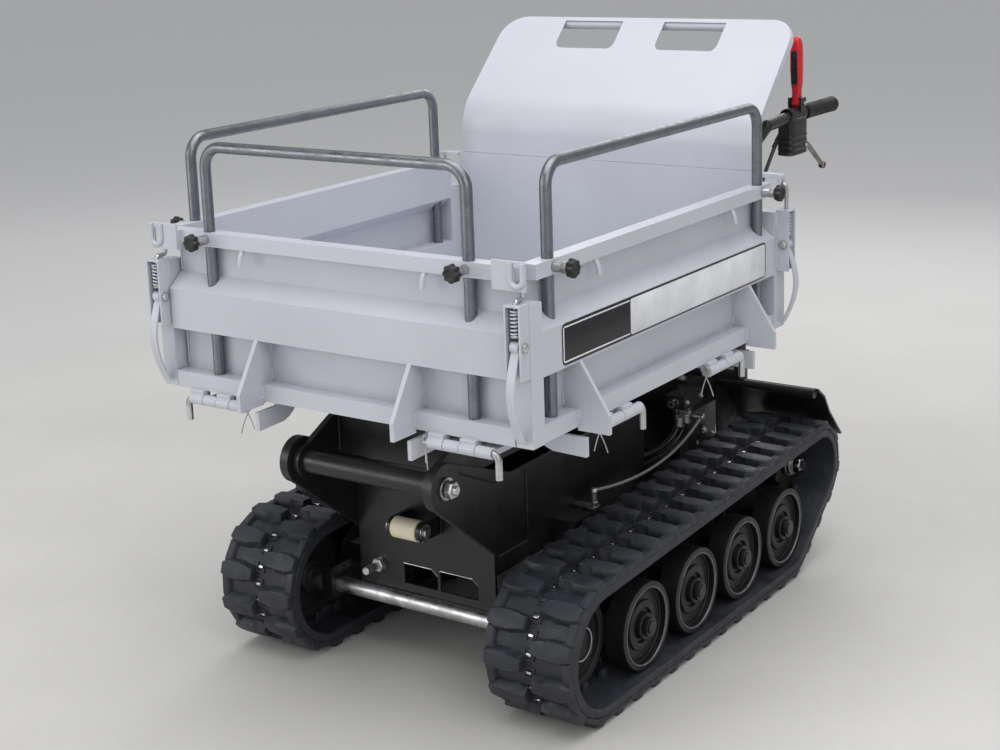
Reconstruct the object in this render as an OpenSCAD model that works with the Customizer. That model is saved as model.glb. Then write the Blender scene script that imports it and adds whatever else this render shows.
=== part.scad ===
/* [Bed] */
// Width of the bed over the outer faces of the two side boards
bed_w = 808; // [780:1:840]
// Underside of the boards above the ground
bed_z = 567; // [560:1:590]
// Height of the boards
board_h = 291; // [280:1:310]
// Depth of a board from its pressed band to its inner face
board_t = 36; // [34:1:42]
// Thickness of the boards' and the headboard's sheet
sheet_t = 3; // [2:0.5:3]
// Wall of the square tubes
tube_wall = 2; // [1.5:0.5:3]
// Size of the square tube along a board's foot
foot_tube = 30; // [25:1:32]
// Size of the square tube along a board's top
head_tube = 25; // [23:1:26]
// Underside of the pressed band above the board's foot
band_z = 110; // [105:1:120]
// Height of the pressed band's upright face
band_h = 74; // [66:1:80]
// Height of the slope above the pressed band
band_slope = 26; // [18:1:32]
// Length of the front board
front_w = 741; // [731:1:741]
// Front end of the side boards behind the front board's face
side_front = 4; // [3:1:6]
// Rear end of the side boards' top tube
side_end = 862; // [855:1:864]
// Rear end of the side boards' corner posts
post_end = 905; // [902:1:910]
// Top of the corner posts above the boards' foot
post_h = 233; // [230:1:234]
// Gap between the bed's fixed and folding pieces
board_gap = 2; // [1.5:0.5:3]
// Size of the square tube under the floor
floor_tube = 30; // [25:1:40]

/* [Gussets and hinges] */
// How far the gussets stand out from the pressed band
gusset_reach = 55; // [45:1:60]
// Thickness of the gussets and stop plates
gusset_t = 8; // [6:1:10]
// Foot of the gussets below the boards' foot
gusset_drop = 7; // [5:1:7]
// Height of a gusset's upright outer edge
gusset_edge = 32; // [24:1:40]
// Front gussets from the middle
front_gusset_x = 168; // [160:1:185]
// Side boards' gussets behind the front face
side_gusset_y = [148, 753];
// Hinge axis below the boards' foot
hinge_drop = 16; // [16:0.5:18]
// Hinge axis outside the pressed band
hinge_out = 2; // [1:0.5:3]
// Outer diameter of the hinge knuckles
knuckle_d = 20; // [18:1:22]
// Diameter of the hinge pins
pin_d = 12; // [10:1:13]
// Radial play of the pins and shafts in their bores
pin_play = 0.05; // [0.03:0.01:0.08]
// Length of one hinge knuckle
knuckle_len = 31; // [28:1:33]
// Gap between neighbouring knuckles
knuckle_gap = 1; // [0.5:0.5:2]
// Inner end of the front hinges from the middle
front_hinge_x = 204; // [195:1:215]
// Front ends of the side hinges behind the front face
side_hinge_y = [205, 580];
// Depth of the stop plates below the hinge axis
stop_depth = 36; // [30:1:45]

/* [Rails and knobs] */
// Diameter of the bent rails
rail_d = 20; // [16:1:20]
// Rails' top centreline above the boards' foot
rail_top = 442; // [400:1:480]
// Bend radius of the rails
rail_bend = 38; // [30:1:60]
// Front rail's legs from the middle
front_leg_x = 281; // [270:1:290]
// Side rails' legs behind the front face
side_leg_y = [90, 827];
// Radial play of the legs in their holes
leg_play = 0.3; // [0.3:0.1:0.6]
// Diameter of the clamp knobs over their lobes
knob_d = 32; // [28:1:36]
// Height of the clamp knobs
knob_h = 16; // [12:1:20]
// Diameter of the clamp screws
screw_d = 8; // [6:1:8]
// Length of the weld nuts
nut_h = 26; // [20:1:30]
// Rope hooks on the front board from the middle
front_hook_x = 198; // [190:1:210]
// Rope hooks on the side boards behind the front face
side_hook_y = [219, 704];

/* [Latches] */
// Width of the latch brackets
latch_w = 30; // [28:1:30]
// Depth of the latch brackets
latch_depth = 26; // [25:1:28]
// Wall of the latch brackets
latch_wall = 3; // [2:0.5:3]
// Underside of the latch brackets above the boards' foot
latch_z = 117; // [110:1:125]
// Height of the latch brackets
latch_h = 120; // [116:1:121]
// Lever pivot above the boards' foot
lever_pivot_z = 169; // [166:1:172]
// Hook rod outside the post's face
hook_out = 14; // [13.5:0.5:14.5]
// Diameter of the hook rods
hook_d = 8; // [6:0.5:9]
// Length of the levers below their pivot
lever_len = 158; // [130:1:165]
// Width of the levers
lever_w = 16; // [12:1:18]
// Thickness of the levers
lever_t = 5; // [4:0.5:6]
// How far the levers bow out from their ends
lever_bow = 24; // [16:1:30]
// Mean diameter of the latch springs
spring_d = 17; // [15:0.5:17.5]
// Wire diameter of the latch springs
spring_wire = 2.6; // [2:0.1:3]
// Number of curls of a latch spring
spring_turns = 7; // [5:1:8]
// Thickness of the keepers
keeper_t = 4; // [3:0.5:5]
// Height of the keepers
keeper_h = 47; // [42:1:50]
// Travel left for the hooks
hook_travel = 4; // [3:0.5:5]

/* [Headboard] */
// Front face of the headboard behind the front board's face
head_y = 889; // [884:1:892]
// Width of the headboard's lower wall
wall_w = 728; // [700:1:730]
// Width of the leaning guard at its foot
guard_w = 706; // [690:1:720]
// Width of the leaning guard at its top, before its round corners
guard_top_w = 700; // [680:1:704]
// Corner radius of the leaning guard
guard_r = 55; // [40:1:70]
// Seam between wall and guard above the boards' foot
seam_z = 306; // [300:1:315]
// Start of the guard's bend above the boards' foot
bend_z = 350; // [340:1:365]
// Radius of the guard's bend
bend_r = 110; // [90:1:130]
// Lean of the guard from upright
lean = 45; // [40:1:50]
// Top of the guard above the boards' foot
guard_h = 583; // [560:1:600]
// Diameter of the headboard's tube frame
head_frame_d = 22; // [18:1:25]
// Hand slots from the middle, inner and outer edge
slot_x = [50, 194];
// Height of the hand slots, measured upright
slot_h = 53; // [44:1:58]
// Top of the hand slots below the guard's top, measured upright
slot_drop = 7; // [6:1:12]

/* [Tipping] */
// Tipping axis behind the front board's face
tip_y = 83; // [78:1:90]
// Tipping axis above the ground
tip_z = 438; // [430:1:442]
// Diameter of the pivot tube
pivot_d = 42; // [36:1:48]
// Length of the pivot tube
pivot_len = 302; // [296:1:304]
// Diameter of the hub discs
hub_d = 86; // [76:1:90]
// Thickness of the hub discs
hub_t = 18; // [14:1:20]
// Thickness of the pivot arms
arm_t = 10; // [8:1:12]
// Width of the box subframe
box_w = 296; // [280:1:298]
// Front of the box subframe
box_y = 169; // [165:1:180]
// Rear of the box subframe
box_end = 700; // [640:1:740]
// Underside of the box subframe above the ground
box_z = 430; // [425:1:440]
// Plate of the box subframe
box_plate = 6; // [5:1:8]
// Cylinder base pin, behind the front face and above the ground
cyl_base = [600, 300];
// Cylinder rod pin, behind the front face and above the ground
cyl_head = [320, 508];
// Outer diameter of the cylinder barrel
barrel_d = 60; // [54:1:66]
// Length of the cylinder barrel from its pin
barrel_len = 270; // [262:1:276]
// Diameter of the piston rod
piston_rod_d = 30; // [24:1:32]

/* [Chassis] */
// Width over the chassis side plates
chassis_w = 312; // [306:1:316]
// Plate of the chassis
chassis_plate = 6; // [5:1:8]
// Underside of the chassis side plates
chassis_z = 220; // [210:1:226]
// Top of the chassis side plates
chassis_top = 400; // [390:1:410]
// Front plate of the chassis behind the front board's face
chassis_y = 236; // [232:1:242]
// Front end of the engine deck
deck_y = 950; // [946:1:954]
// Rear end of the engine deck
deck_end = 1240; // [1230:1:1250]
// Thickness of the engine deck
deck_t = 6; // [5:1:8]
// Roller axis behind the front face and above the ground
roller_at = [188, 299];
// Diameter of the nylon roller
roller_d = 40; // [34:1:44]
// Length of the nylon roller
roller_len = 56; // [50:1:60]
// Diameter of the roller pin
roller_pin_d = 16; // [14:1:18]

/* [Tracks] */
// Middle of a track from the middle of the machine
track_x = 309; // [305:1:315]
// Width of a track
track_w = 180; // [170:2:184]
// Thickness of a track's belt
belt_t = 18; // [15:1:20]
// Height of the tread lugs
lug_h = 16; // [12:1:20]
// Length of a tread lug along the track
lug_len = 42; // [36:1:46]
// Gap between the two rows of tread lugs
lug_gap = 16; // [10:1:24]
// Number of tread lugs in a row
lug_count = 37; // [36:1:38]
// Height of the guide lugs inside a track
guide_h = 18; // [14:1:20]
// Length of a guide lug along the track
guide_len = 24; // [18:1:28]
// Width of a guide lug
guide_w = 12; // [10:1:13]
// Middle of a guide row from the middle of the track
guide_x = 21; // [20:0.5:22]
// Idler's centre behind the front face
idler_y = 230; // [226:1:236]
// Inner radius of the belt round the idler
idler_r = 101; // [96:1:104]
// First road wheel's centre behind the front face
wheel_y = 390; // [388:1:394]
// Spacing of the road wheels
wheel_pitch = 191; // [186:1:192]
// Inner radius of the belt round the road wheels
wheel_r = 83; // [80:1:84]
// Sprocket's centre behind the front face
sprocket_y = 1105; // [1100:1:1110]
// Sprocket's centre above the ground
sprocket_z = 208; // [204:1:214]
// Inner radius of the belt round the sprocket
sprocket_r = 66; // [64:1:70]
// Play between wheels and belt
belt_play = 0.4; // [0.3:0.1:0.8]
// Inner side of the wheels' discs from the middle of the track
disc_x = 30; // [29:0.5:33]
// Width of a road wheel's disc
disc_w = 42; // [36:1:44]
// Diameter of the front axle
axle_d = 30; // [26:1:32]
// Diameter of the road wheels' axles
wheel_axle_d = 25; // [20:1:28]
// Diameter of the sprocket shafts
drive_shaft_d = 30; // [26:1:32]
// Number of sprocket teeth
teeth = 9; // [7:1:11]

/* [Handlebar and engine] */
// Grips from the middle
grip_x = 315; // [305:1:320]
// Height of the grips
grip_z = 952; // [945:1:960]
// Front end of the grips behind the front board's face
grip_y = 1182; // [1178:1:1190]
// Rear end of the grips
grip_end = 1326; // [1315:1:1340]
// Diameter of the grips
grip_d = 33; // [30:1:36]
// Diameter of the handlebar tube
handle_d = 25; // [22:1:26]
// Handlebar uprights behind the front board's face
upright_y = 978; // [974:1:984]
// Length of the red clutch lever
clutch_len = 138; // [125:1:145]
// Length of the steering levers along the grip
brake_len = 100; // [85:1:110]
// Width of the engine block
engine_w = 250; // [235:1:265]
// Height of the engine block
engine_h = 200; // [180:1:215]

/* [Hidden] */
$fn = 48;
y0 = -(grip_end - gusset_reach) / 2;
half_w = bed_w / 2;
board_top = bed_z + board_h;
sheet_y = board_t - sheet_t;
leg_in = sheet_y - head_tube / 2;
leg_r = rail_d / 2;
band_lo = bed_z + band_z;
band_hi = band_lo + band_h;
band_end = band_hi + band_slope;
hinge_z = bed_z - hinge_drop;
hinge_len = 4 * knuckle_len + 3 * knuckle_gap;
gusset_foot = bed_z - gusset_drop;
stop_face = -hinge_out - (gusset_foot - hinge_z) + 0.5;
floor_front = board_t + board_gap;
floor_half = half_w - board_t - board_gap;
floor_end = head_y + sheet_t + head_frame_d + 4;
rail_axis_z = board_top - head_tube / 2;
post_top = bed_z + post_h;
post_in = front_w / 2 + board_gap;
front_latch_x = (post_in + half_w) / 2;
rear_latch_y = (side_end + post_end) / 2 + 1;
latch_lo = bed_z + latch_z;
latch_hi = latch_lo + latch_h;
pivot_z = bed_z + lever_pivot_z;
collar_z = pivot_z + 16;
collar_h = 4;
spring_lo = collar_z + collar_h + 0.3;
spring_hi = latch_hi - latch_wall - 0.3;
keeper_z = latch_hi + hook_travel + 15;
hook_step = latch_hi + 2;
idler_z = idler_r + belt_t + lug_h;
wheel_z = wheel_r + belt_t + lug_h;
last_wheel_y = wheel_y + 3 * wheel_pitch;
inner_edge = track_x - track_w / 2;
frame_out = track_x - disc_x - disc_w - 2;
frame_in = frame_out - 30;
cyl_len = norm(cyl_head - cyl_base);
cyl_angle = atan2(cyl_head[1] - cyl_base[1], cyl_head[0] - cyl_base[0]);
deck_z = chassis_top + deck_t;
guard_top = bed_z + guard_h;
bend_lo = bed_z + bend_z;
arc_y = head_y + bend_r * (1 - cos(lean));
arc_z = bend_lo + bend_r * sin(lean);
guard_y = arc_y + (guard_top - arc_z) * tan(lean);
sheet_grey = [0.73, 0.74, 0.77];
frame_black = [0.06, 0.06, 0.065];
zinc = [0.72, 0.72, 0.7];
lever_bolt_d = 8;
spring_pitch = (spring_hi - spring_lo - hook_travel - spring_wire) / spring_turns;
echo(spring_least_gap = spring_pitch * cos(atan(spring_pitch / (PI * spring_d))) - spring_wire);
base_pin_d = 20;
idler_half = disc_x - 2;
hub_recess = 9;
wall_gap = 0.5;
head_drop = 1;
notch_y = 776;
notch_z = 244;
notch_end = deck_y - 25;
tank_half = 110;
valve_w = 44;
valve_y = [deck_y - 84, deck_y - 4];
hose_y = [deck_y - 68, deck_y - 38];
port_z = chassis_top - 44;
rear_z = 330;
plate_end = 1000;
frame_y = [300, 1010];
frame_z = [80, 190];
tip_lever_at = [118, 1145, 870];
clutch_at = [grip_x, 1150, 974];
brake_at = [grip_x, 1150, 888];

// The belt runs round three wheels: idler, last road wheel and sprocket
wheels = [
  [idler_y, idler_z, idler_r], [last_wheel_y, wheel_z, wheel_r], [sprocket_y, sprocket_z, sprocket_r]
];
function run_normal(a, b) = let (d = [b[0] - a[0], b[1] - a[1]])
  atan2(d[1], d[0]) - acos((a[2] - b[2]) / norm(d));
runs = [for (i = [0:2]) run_normal(wheels[i], wheels[(i + 1) % 3])];
function wheel_point(i, a, o) = [
  wheels[i][0] + (wheels[i][2] + o) * cos(a), wheels[i][1] + (wheels[i][2] + o) * sin(a)
];
turns = [for (i = [0:2]) let (t = runs[i] - runs[(i + 2) % 3]) t < 0 ? t + 360 : t];
run_len = [for (i = [0:2]) norm(wheel_point((i + 1) % 3, runs[i], 0) - wheel_point(i, runs[i], 0))];
arc_len = [for (i = [0:2]) turns[i] * PI / 180 * (wheels[i][2] + belt_t)];
loop_len = run_len[0] + run_len[1] + run_len[2] + arc_len[0] + arc_len[1] + arc_len[2];

// Place on the belt's outer face at a distance along it: y, z and the outward angle
function belt_at(l, i = 0) =
  l < run_len[i]
    ? concat(wheel_point(i, runs[i], belt_t)
             + l / run_len[i] * (wheel_point((i + 1) % 3, runs[i], belt_t) - wheel_point(i, runs[i], belt_t)),
             [runs[i]])
    : l < run_len[i] + arc_len[(i + 1) % 3]
      ? let (k = (i + 1) % 3, a = runs[i] + turns[k] * (l - run_len[i]) / arc_len[k])
          concat(wheel_point(k, a, belt_t), [a])
      : belt_at(l - run_len[i] - arc_len[(i + 1) % 3], (i + 1) % 3);

// Moves a piece from the front board's face to the middle of the machine
module place() {
  translate([0, y0, 0]) children();
}

// Box between two corners
module block(x, y, z) {
  translate([x[0], y[0], z[0]]) cube([x[1] - x[0], y[1] - y[0], z[1] - z[0]]);
}

// Round bar across the machine
module bar_x(d, x, y, z) {
  translate([x[0], y, z]) rotate([0, 90, 0]) cylinder(d = d, h = x[1] - x[0]);
}

// Round bar along the machine
module bar_y(d, x, y, z) {
  translate([x, y[0], z]) rotate([-90, 0, 0]) cylinder(d = d, h = y[1] - y[0]);
}

// Upright round bar
module bar_z(d, x, y, z) {
  translate([x, y, z[0]]) cylinder(d = d, h = z[1] - z[0]);
}

// Outline in y and z, as thick as the span in x
module slab_x(x) {
  translate([x[0], 0, 0]) rotate([90, 0, 90]) linear_extrude(x[1] - x[0]) children();
}

// Outline in x and z, as thick as the span in y
module slab_y(y) {
  translate([0, y[1], 0]) rotate([90, 0, 0]) linear_extrude(y[1] - y[0]) children();
}

// Round bar between two points, with round ends
module strut(a, b, d) {
  v = b - a;
  translate(a) rotate([0, acos(v[2] / norm(v)), atan2(v[1], v[0])]) cylinder(d = d, h = norm(v));
  translate(a) sphere(d = d + 0.2);
  translate(b) sphere(d = d + 0.2);
}

// Both sides of the machine
module both_sides() {
  children();
  mirror([1, 0, 0]) children();
}

// A side board's own frame: its length runs to the rear, its face looks right
module on_right() {
  translate([half_w, 0, 0]) rotate([0, 0, 90]) children();
}

function unit(v) = v / norm(v);

// Corners of a tube's rings along a route of points
function ring_points(path, r, sides, up) = [
  for (i = [0:len(path) - 1])
    let (t = unit(path[min(i + 1, len(path) - 1)] - path[max(i - 1, 0)]),
         n = unit(cross(up, t)),
         b = cross(t, n))
      for (k = [0:sides - 1]) path[i] + r * (cos(360 * k / sides) * n + sin(360 * k / sides) * b)
];

// One unbroken tube along a route
module tube(path, r, sides, up) {
  rings = len(path);
  sides_of = [
    for (i = [0:rings - 2]) for (k = [0:sides - 1])
      let (a = i * sides + k, b = i * sides + (k + 1) % sides)
        each [[a, a + sides, b + sides], [a, b + sides, b]]
  ];
  last = (rings - 1) * sides;
  ends = [for (k = [1:sides - 2]) each [[0, k, k + 1], [last, last + k + 1, last + k]]];
  polyhedron(ring_points(path, r, sides, up), concat(sides_of, ends));
}

// Square tube along a board
module square_tube(size, t, z, s) {
  slab_x(s) difference() {
    translate([t, z]) square(size);
    translate([t + tube_wall, z + tube_wall]) square(size - 2 * tube_wall);
  }
}

// The pressed sheet of a board, with its outward band
module board_sheet(s) {
  slab_x(s) polygon([
    [sheet_y, bed_z], [sheet_y, band_lo], [0, band_lo], [0, band_hi], [sheet_y, band_end],
    [sheet_y, board_top], [board_t, board_top], [board_t, band_end - sheet_t / 2],
    [sheet_t, band_hi - sheet_t / 2], [sheet_t, band_lo + sheet_t], [board_t, band_lo + sheet_t],
    [board_t, bed_z]
  ]);
}

// Plate that closes the end of a board
module board_end(s) {
  slab_x(s) polygon([
    [sheet_y - foot_tube, bed_z], [sheet_y - foot_tube, bed_z + foot_tube], [sheet_y, bed_z + foot_tube],
    [sheet_y, band_lo], [0, band_lo], [0, band_hi], [sheet_y, band_end], [sheet_y, board_top - head_tube],
    [sheet_y - head_tube, board_top - head_tube], [sheet_y - head_tube, board_top], [board_t, board_top],
    [board_t, bed_z]
  ]);
}

// Triangular plate that stops a board when it lies flat
module gusset(s) {
  slab_x([s - gusset_t / 2, s + gusset_t / 2]) polygon([
    [-gusset_reach, gusset_foot], [-gusset_reach, gusset_foot + gusset_edge], [0, band_lo + sheet_t],
    [board_t - sheet_t / 2, band_lo + sheet_t], [board_t - sheet_t / 2, bed_z + foot_tube - tube_wall / 2],
    [sheet_y - foot_tube + tube_wall / 2, bed_z + foot_tube - tube_wall / 2],
    [sheet_y - foot_tube + tube_wall / 2, bed_z + tube_wall / 2],
    [sheet_y - foot_tube + 2, bed_z + tube_wall / 2], [sheet_y - foot_tube + 2, gusset_foot]
  ]);
}

// Bent rod under the top tube for a rope
module rope_hook(s) {
  rod_d = 6;
  top = [s, sheet_y - head_tube + rod_d, board_top - head_tube + tube_wall / 2];
  strut(top, top + [0, -rod_d - 2, -rod_d * 2], rod_d);
  strut(top + [0, -rod_d - 2, -rod_d * 2], top + [0, -rod_d - 4, -rod_d * 4.5], rod_d);
}

function knuckle_span(start, k) = [
  start + k * (knuckle_len + knuckle_gap), start + k * (knuckle_len + knuckle_gap) + knuckle_len
];

// The board's share of a hinge's knuckles
module board_knuckles(start) {
  for (k = [0, 2]) {
    bar_x(knuckle_d, knuckle_span(start, k), -hinge_out, hinge_z);
    block(knuckle_span(start, k), [-hinge_out - 4, sheet_y - foot_tube + 9],
          [hinge_z, bed_z + tube_wall / 2]);
  }
}

// The bed's share of a hinge's knuckles
module bed_knuckles(start) {
  strap_t = 10;
  difference() {
    for (k = [1, 3]) {
      bar_x(knuckle_d, knuckle_span(start, k), -hinge_out, hinge_z);
      block(knuckle_span(start, k), [-hinge_out, floor_front + floor_tube],
            [hinge_z - strap_t / 2, hinge_z + strap_t / 2]);
      block(knuckle_span(start, k), [floor_front + tube_wall, floor_front + floor_tube],
            [hinge_z, bed_z + tube_wall / 2]);
    }
    bar_x(pin_d + 2 * pin_play, [start - 1, start + hinge_len + 1], -hinge_out, hinge_z);
  }
}

// Quarter-round plate under the floor that a gusset comes to rest against
module stop_plate(s) {
  back = stop_face + 110;
  low = hinge_z - stop_depth;
  slab_x([s - gusset_t / 2, s + gusset_t / 2]) polygon(concat(
    [[stop_face, low], [stop_face, hinge_z - 2], [floor_front + 2, hinge_z - 2],
     [floor_front + 2, bed_z + tube_wall / 2], [back, bed_z + tube_wall / 2]],
    [for (a = [0:15:75]) [back - 60 + 60 * cos(a), bed_z - (bed_z - low) * sin(a)]]
  ));
}

// Drop side with everything that is welded to it
module drop_board(s, legs, gussets, hooks, hinges) {
  nut_y = sheet_y - head_tube;
  end_t = 4;
  difference() {
    union() {
      board_sheet(s);
      square_tube(head_tube, sheet_y - head_tube, board_top - head_tube, s);
      square_tube(foot_tube, sheet_y - foot_tube, bed_z, s);
      board_end([s[0], s[0] + end_t]);
      board_end([s[1] - end_t, s[1]]);
      for (g = gussets) gusset(g);
      for (h = hooks) rope_hook(h);
      for (h = hinges) board_knuckles(h);
      for (l = legs) bar_y(2.1 * screw_d, l, [nut_y - nut_h, nut_y + tube_wall / 2], rail_axis_z);
      children();
    }
    for (h = hinges) bar_x(pin_d + 2 * pin_play, [h - 1, h + hinge_len + 1], -hinge_out, hinge_z);
    for (l = legs) {
      bar_z(rail_d + 2 * leg_play, l, leg_in, [bed_z + foot_tube, board_top + 1]);
      bar_y(screw_d + 2 * pin_play, l, [nut_y - nut_h - 1, leg_in], rail_axis_z);
    }
  }
}

// Channel bracket of a latch on a post whose face looks along the local -y
module latch_bracket() {
  half = latch_w / 2;
  difference() {
    union() {
      block([-half, half], [-latch_wall, 1], [latch_lo, latch_hi]);
      for (side = [-half, half - latch_wall])
        block([side, side + latch_wall], [-latch_depth, 0], [latch_lo, latch_hi]);
      block([-half, half], [-latch_depth, 0], [latch_hi - latch_wall, latch_hi]);
      bar_x(lever_bolt_d, [-half - 2, half + 2], -hook_out, pivot_z);
    }
    bar_z(hook_d + 2 * leg_play, 0, -hook_out, [latch_hi - latch_wall - 1, latch_hi + 1]);
  }
}

// Hand lever of a latch, bowed outward
module latch_lever() {
  steps = 10;
  foot_out = 8;
  bow = [for (i = [0:steps]) [
    -hook_out + (hook_out - foot_out) * i / steps - lever_bow * sin(180 * i / steps),
    pivot_z - lever_len * i / steps
  ]];
  color(sheet_grey) difference() {
    union() {
      bar_x(2 * (hook_out - latch_wall - 1), [-lever_w / 2, lever_w / 2], -hook_out, pivot_z);
      slab_x([-lever_w / 2, lever_w / 2]) polygon(concat(
        [for (q = bow) q - [lever_t / 2, 0]], [for (i = [steps:-1:0]) bow[i] + [lever_t / 2, 0]]
      ));
    }
    bar_x(lever_bolt_d + 2 * pin_play, [-lever_w, lever_w], -hook_out, pivot_z);
  }
}

// Rings of a coil spring round an upright axis
function spring_path(z, turns) = [
  for (i = [0:8 * turns]) [
    spring_d / 2 * cos(45 * i), spring_d / 2 * sin(45 * i) - hook_out,
    z[0] + spring_wire / 2 + (z[1] - z[0] - spring_wire) * i / (8 * turns)
  ]
];

// Hook rod with its collar and spring
module hook_rod(top) {
  bar_z(hook_d, 0, -hook_out, [collar_z, top]);
  bar_z(spring_d + spring_wire, 0, -hook_out, [collar_z, collar_z + collar_h]);
  tube(spring_path([spring_lo, spring_hi - hook_travel], spring_turns), spring_wire / 2, 6, [0, 0, 1]);
}

// Front hook: steps back under the keeper and stands up behind it
module latch_hook_front() {
  bar_w = 10;
  bar_t = 7;
  back = side_front + 2;
  color(zinc) {
    hook_rod(hook_step + bar_t / 2);
    block([-bar_w / 2, bar_w / 2], [-hook_out - hook_d / 2, back + bar_t], [hook_step, hook_step + bar_t]);
    block([-bar_w / 2, bar_w / 2], [back, back + bar_t], [hook_step, keeper_z + keeper_h - 15]);
  }
}

// Rear hook: stands outside the keeper with its nose through the slot
module latch_hook_rear() {
  nose_z = keeper_z + 26;
  nose_h = 6;
  color(zinc) {
    hook_rod(nose_z + nose_h + 2);
    block([-3, 3], [-hook_out, 2], [nose_z, nose_z + nose_h]);
  }
}

// Places a latch piece on the front or rear post of the right side board
module at_front_right() {
  place() translate([front_latch_x, side_front, 0]) children();
}
module at_rear_right() {
  place() on_right() translate([rear_latch_y, 0, 0]) children();
}

// Hollow corner post
module corner_post(s, t) {
  difference() {
    block(s, t, [bed_z, post_top]);
    block([s[0] + sheet_t, s[1] - sheet_t], [t[0] + sheet_t, t[1] - sheet_t],
          [bed_z - 1, post_top - sheet_t]);
  }
}

module front_board() {
  half = front_w / 2;
  plate_in = half - 30;
  front_hinges = [-front_hinge_x - hinge_len, front_hinge_x];
  slot = [keeper_z + 9, keeper_z + keeper_h - 9];
  color(sheet_grey) place()
    drop_board([-half, half], [-front_leg_x, front_leg_x], [-front_gusset_x, front_gusset_x],
               [-front_hook_x, front_hook_x], front_hinges)
      both_sides() {
        block([plate_in, half], [-1, sheet_y - head_tube + tube_wall / 2], [keeper_z, board_top]);
        difference() {
          block([plate_in, half_w - 1], [-keeper_t, 0], [keeper_z, keeper_z + keeper_h]);
          block([front_latch_x - 6, front_latch_x + 6], [-keeper_t - 1, 1], slot);
        }
      }
}

module right_board_body() {
  color(sheet_grey) place() on_right()
    drop_board([floor_front, side_end], side_leg_y, side_gusset_y, side_hook_y, side_hinge_y) {
      corner_post([side_front, floor_front + 1], [0, half_w - post_in]);
      corner_post([side_end - 1, post_end], [0, board_t]);
      translate([rear_latch_y, 0, 0]) latch_bracket();
      translate([side_front, half_w - front_latch_x, 0]) rotate([0, 0, -90]) latch_bracket();
    }
}
module right_board() {
  right_board_body();
}
module left_board() {
  mirror([1, 0, 0]) right_board_body();
}

// Bent rail with two legs
module bent_rail(s) {
  top = bed_z + rail_top;
  color([0.36, 0.37, 0.39]) {
    for (leg = s) bar_z(rail_d, leg, leg_in, [bed_z + foot_tube + leg_play, top - rail_bend]);
    bar_x(rail_d, [s[0] + rail_bend, s[1] - rail_bend], leg_in, top);
    for (corner = [[s[0] + rail_bend, 90], [s[1] - rail_bend, 0]])
      translate([corner[0], leg_in, top - rail_bend]) rotate([90, 0, 0]) rotate([0, 0, corner[1]])
        rotate_extrude(angle = 90) translate([rail_bend, 0]) circle(d = rail_d);
  }
}
module front_rail() {
  place() bent_rail([-front_leg_x, front_leg_x]);
}
module right_rail() {
  place() on_right() bent_rail(side_leg_y);
}
module left_rail() {
  mirror([1, 0, 0]) right_rail();
}

// Lobed clamp knob on its screw
module clamp_knob(s) {
  lobes = 8;
  foot = sheet_y - head_tube - nut_h - 0.3;
  lobe_d = knob_d / 4;
  reach = leg_in - leg_r - leg_play - foot;
  color([0.03, 0.03, 0.03]) translate([s, foot, rail_axis_z]) rotate([90, 0, 0]) {
    linear_extrude(knob_h) {
      circle(d = knob_d - lobe_d);
      for (a = [0:lobes - 1])
        rotate(360 * a / lobes) translate([(knob_d - lobe_d) / 2, 0]) circle(d = lobe_d);
    }
    translate([0, 0, -reach]) cylinder(d = screw_d, h = reach + 1);
  }
}
module side_knob(i) {
  place() on_right() clamp_knob(side_leg_y[i]);
}

// Floor, its frame, the stop plates and the fixed hinge knuckles
module bed_floor() {
  top = bed_z + floor_tube;
  x = [-floor_half, floor_half];
  y = [floor_front, floor_end];
  bays = 4;
  rib = 10;
  bay = (y[1] - y[0] - rib) / bays;
  color(sheet_grey) place() {
    block(x, [y[0], head_y - wall_gap], [top, top + sheet_t]);
    block(x, [head_y - wall_gap - 1, y[1]], [top, top + sheet_t - head_drop]);
    difference() {
      block(x, y, [bed_z, top]);
      for (i = [0:bays - 1])
        block([x[0] + rib, x[1] - rib], [y[0] + rib + i * bay, y[0] + (i + 1) * bay], [bed_z - 1, top]);
    }
    for (s = [-front_gusset_x, front_gusset_x]) stop_plate(s);
    for (h = [-front_hinge_x - hinge_len, front_hinge_x]) bed_knuckles(h);
    both_sides() on_right() {
      for (s = side_gusset_y) stop_plate(s);
      for (h = side_hinge_y) bed_knuckles(h);
    }
  }
}

// L-shaped pin through a hinge, bent at one end
module hinge_pin(start, bent_at_start) {
  tail = 10;
  leg = 42;
  ends = [start - tail, start + hinge_len + tail];
  bend = bent_at_start ? ends[0] : ends[1];
  bar_x(pin_d, ends, -hinge_out, hinge_z);
  translate([bend, -hinge_out, hinge_z]) sphere(d = pin_d);
  bar_z(pin_d, bend, -hinge_out, [hinge_z - leg, hinge_z]);
}
module hinge_pins() {
  color(zinc) place() {
    hinge_pin(-front_hinge_x - hinge_len, true);
    hinge_pin(front_hinge_x, false);
    both_sides() on_right() for (h = side_hinge_y) hinge_pin(h, false);
  }
}

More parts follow.
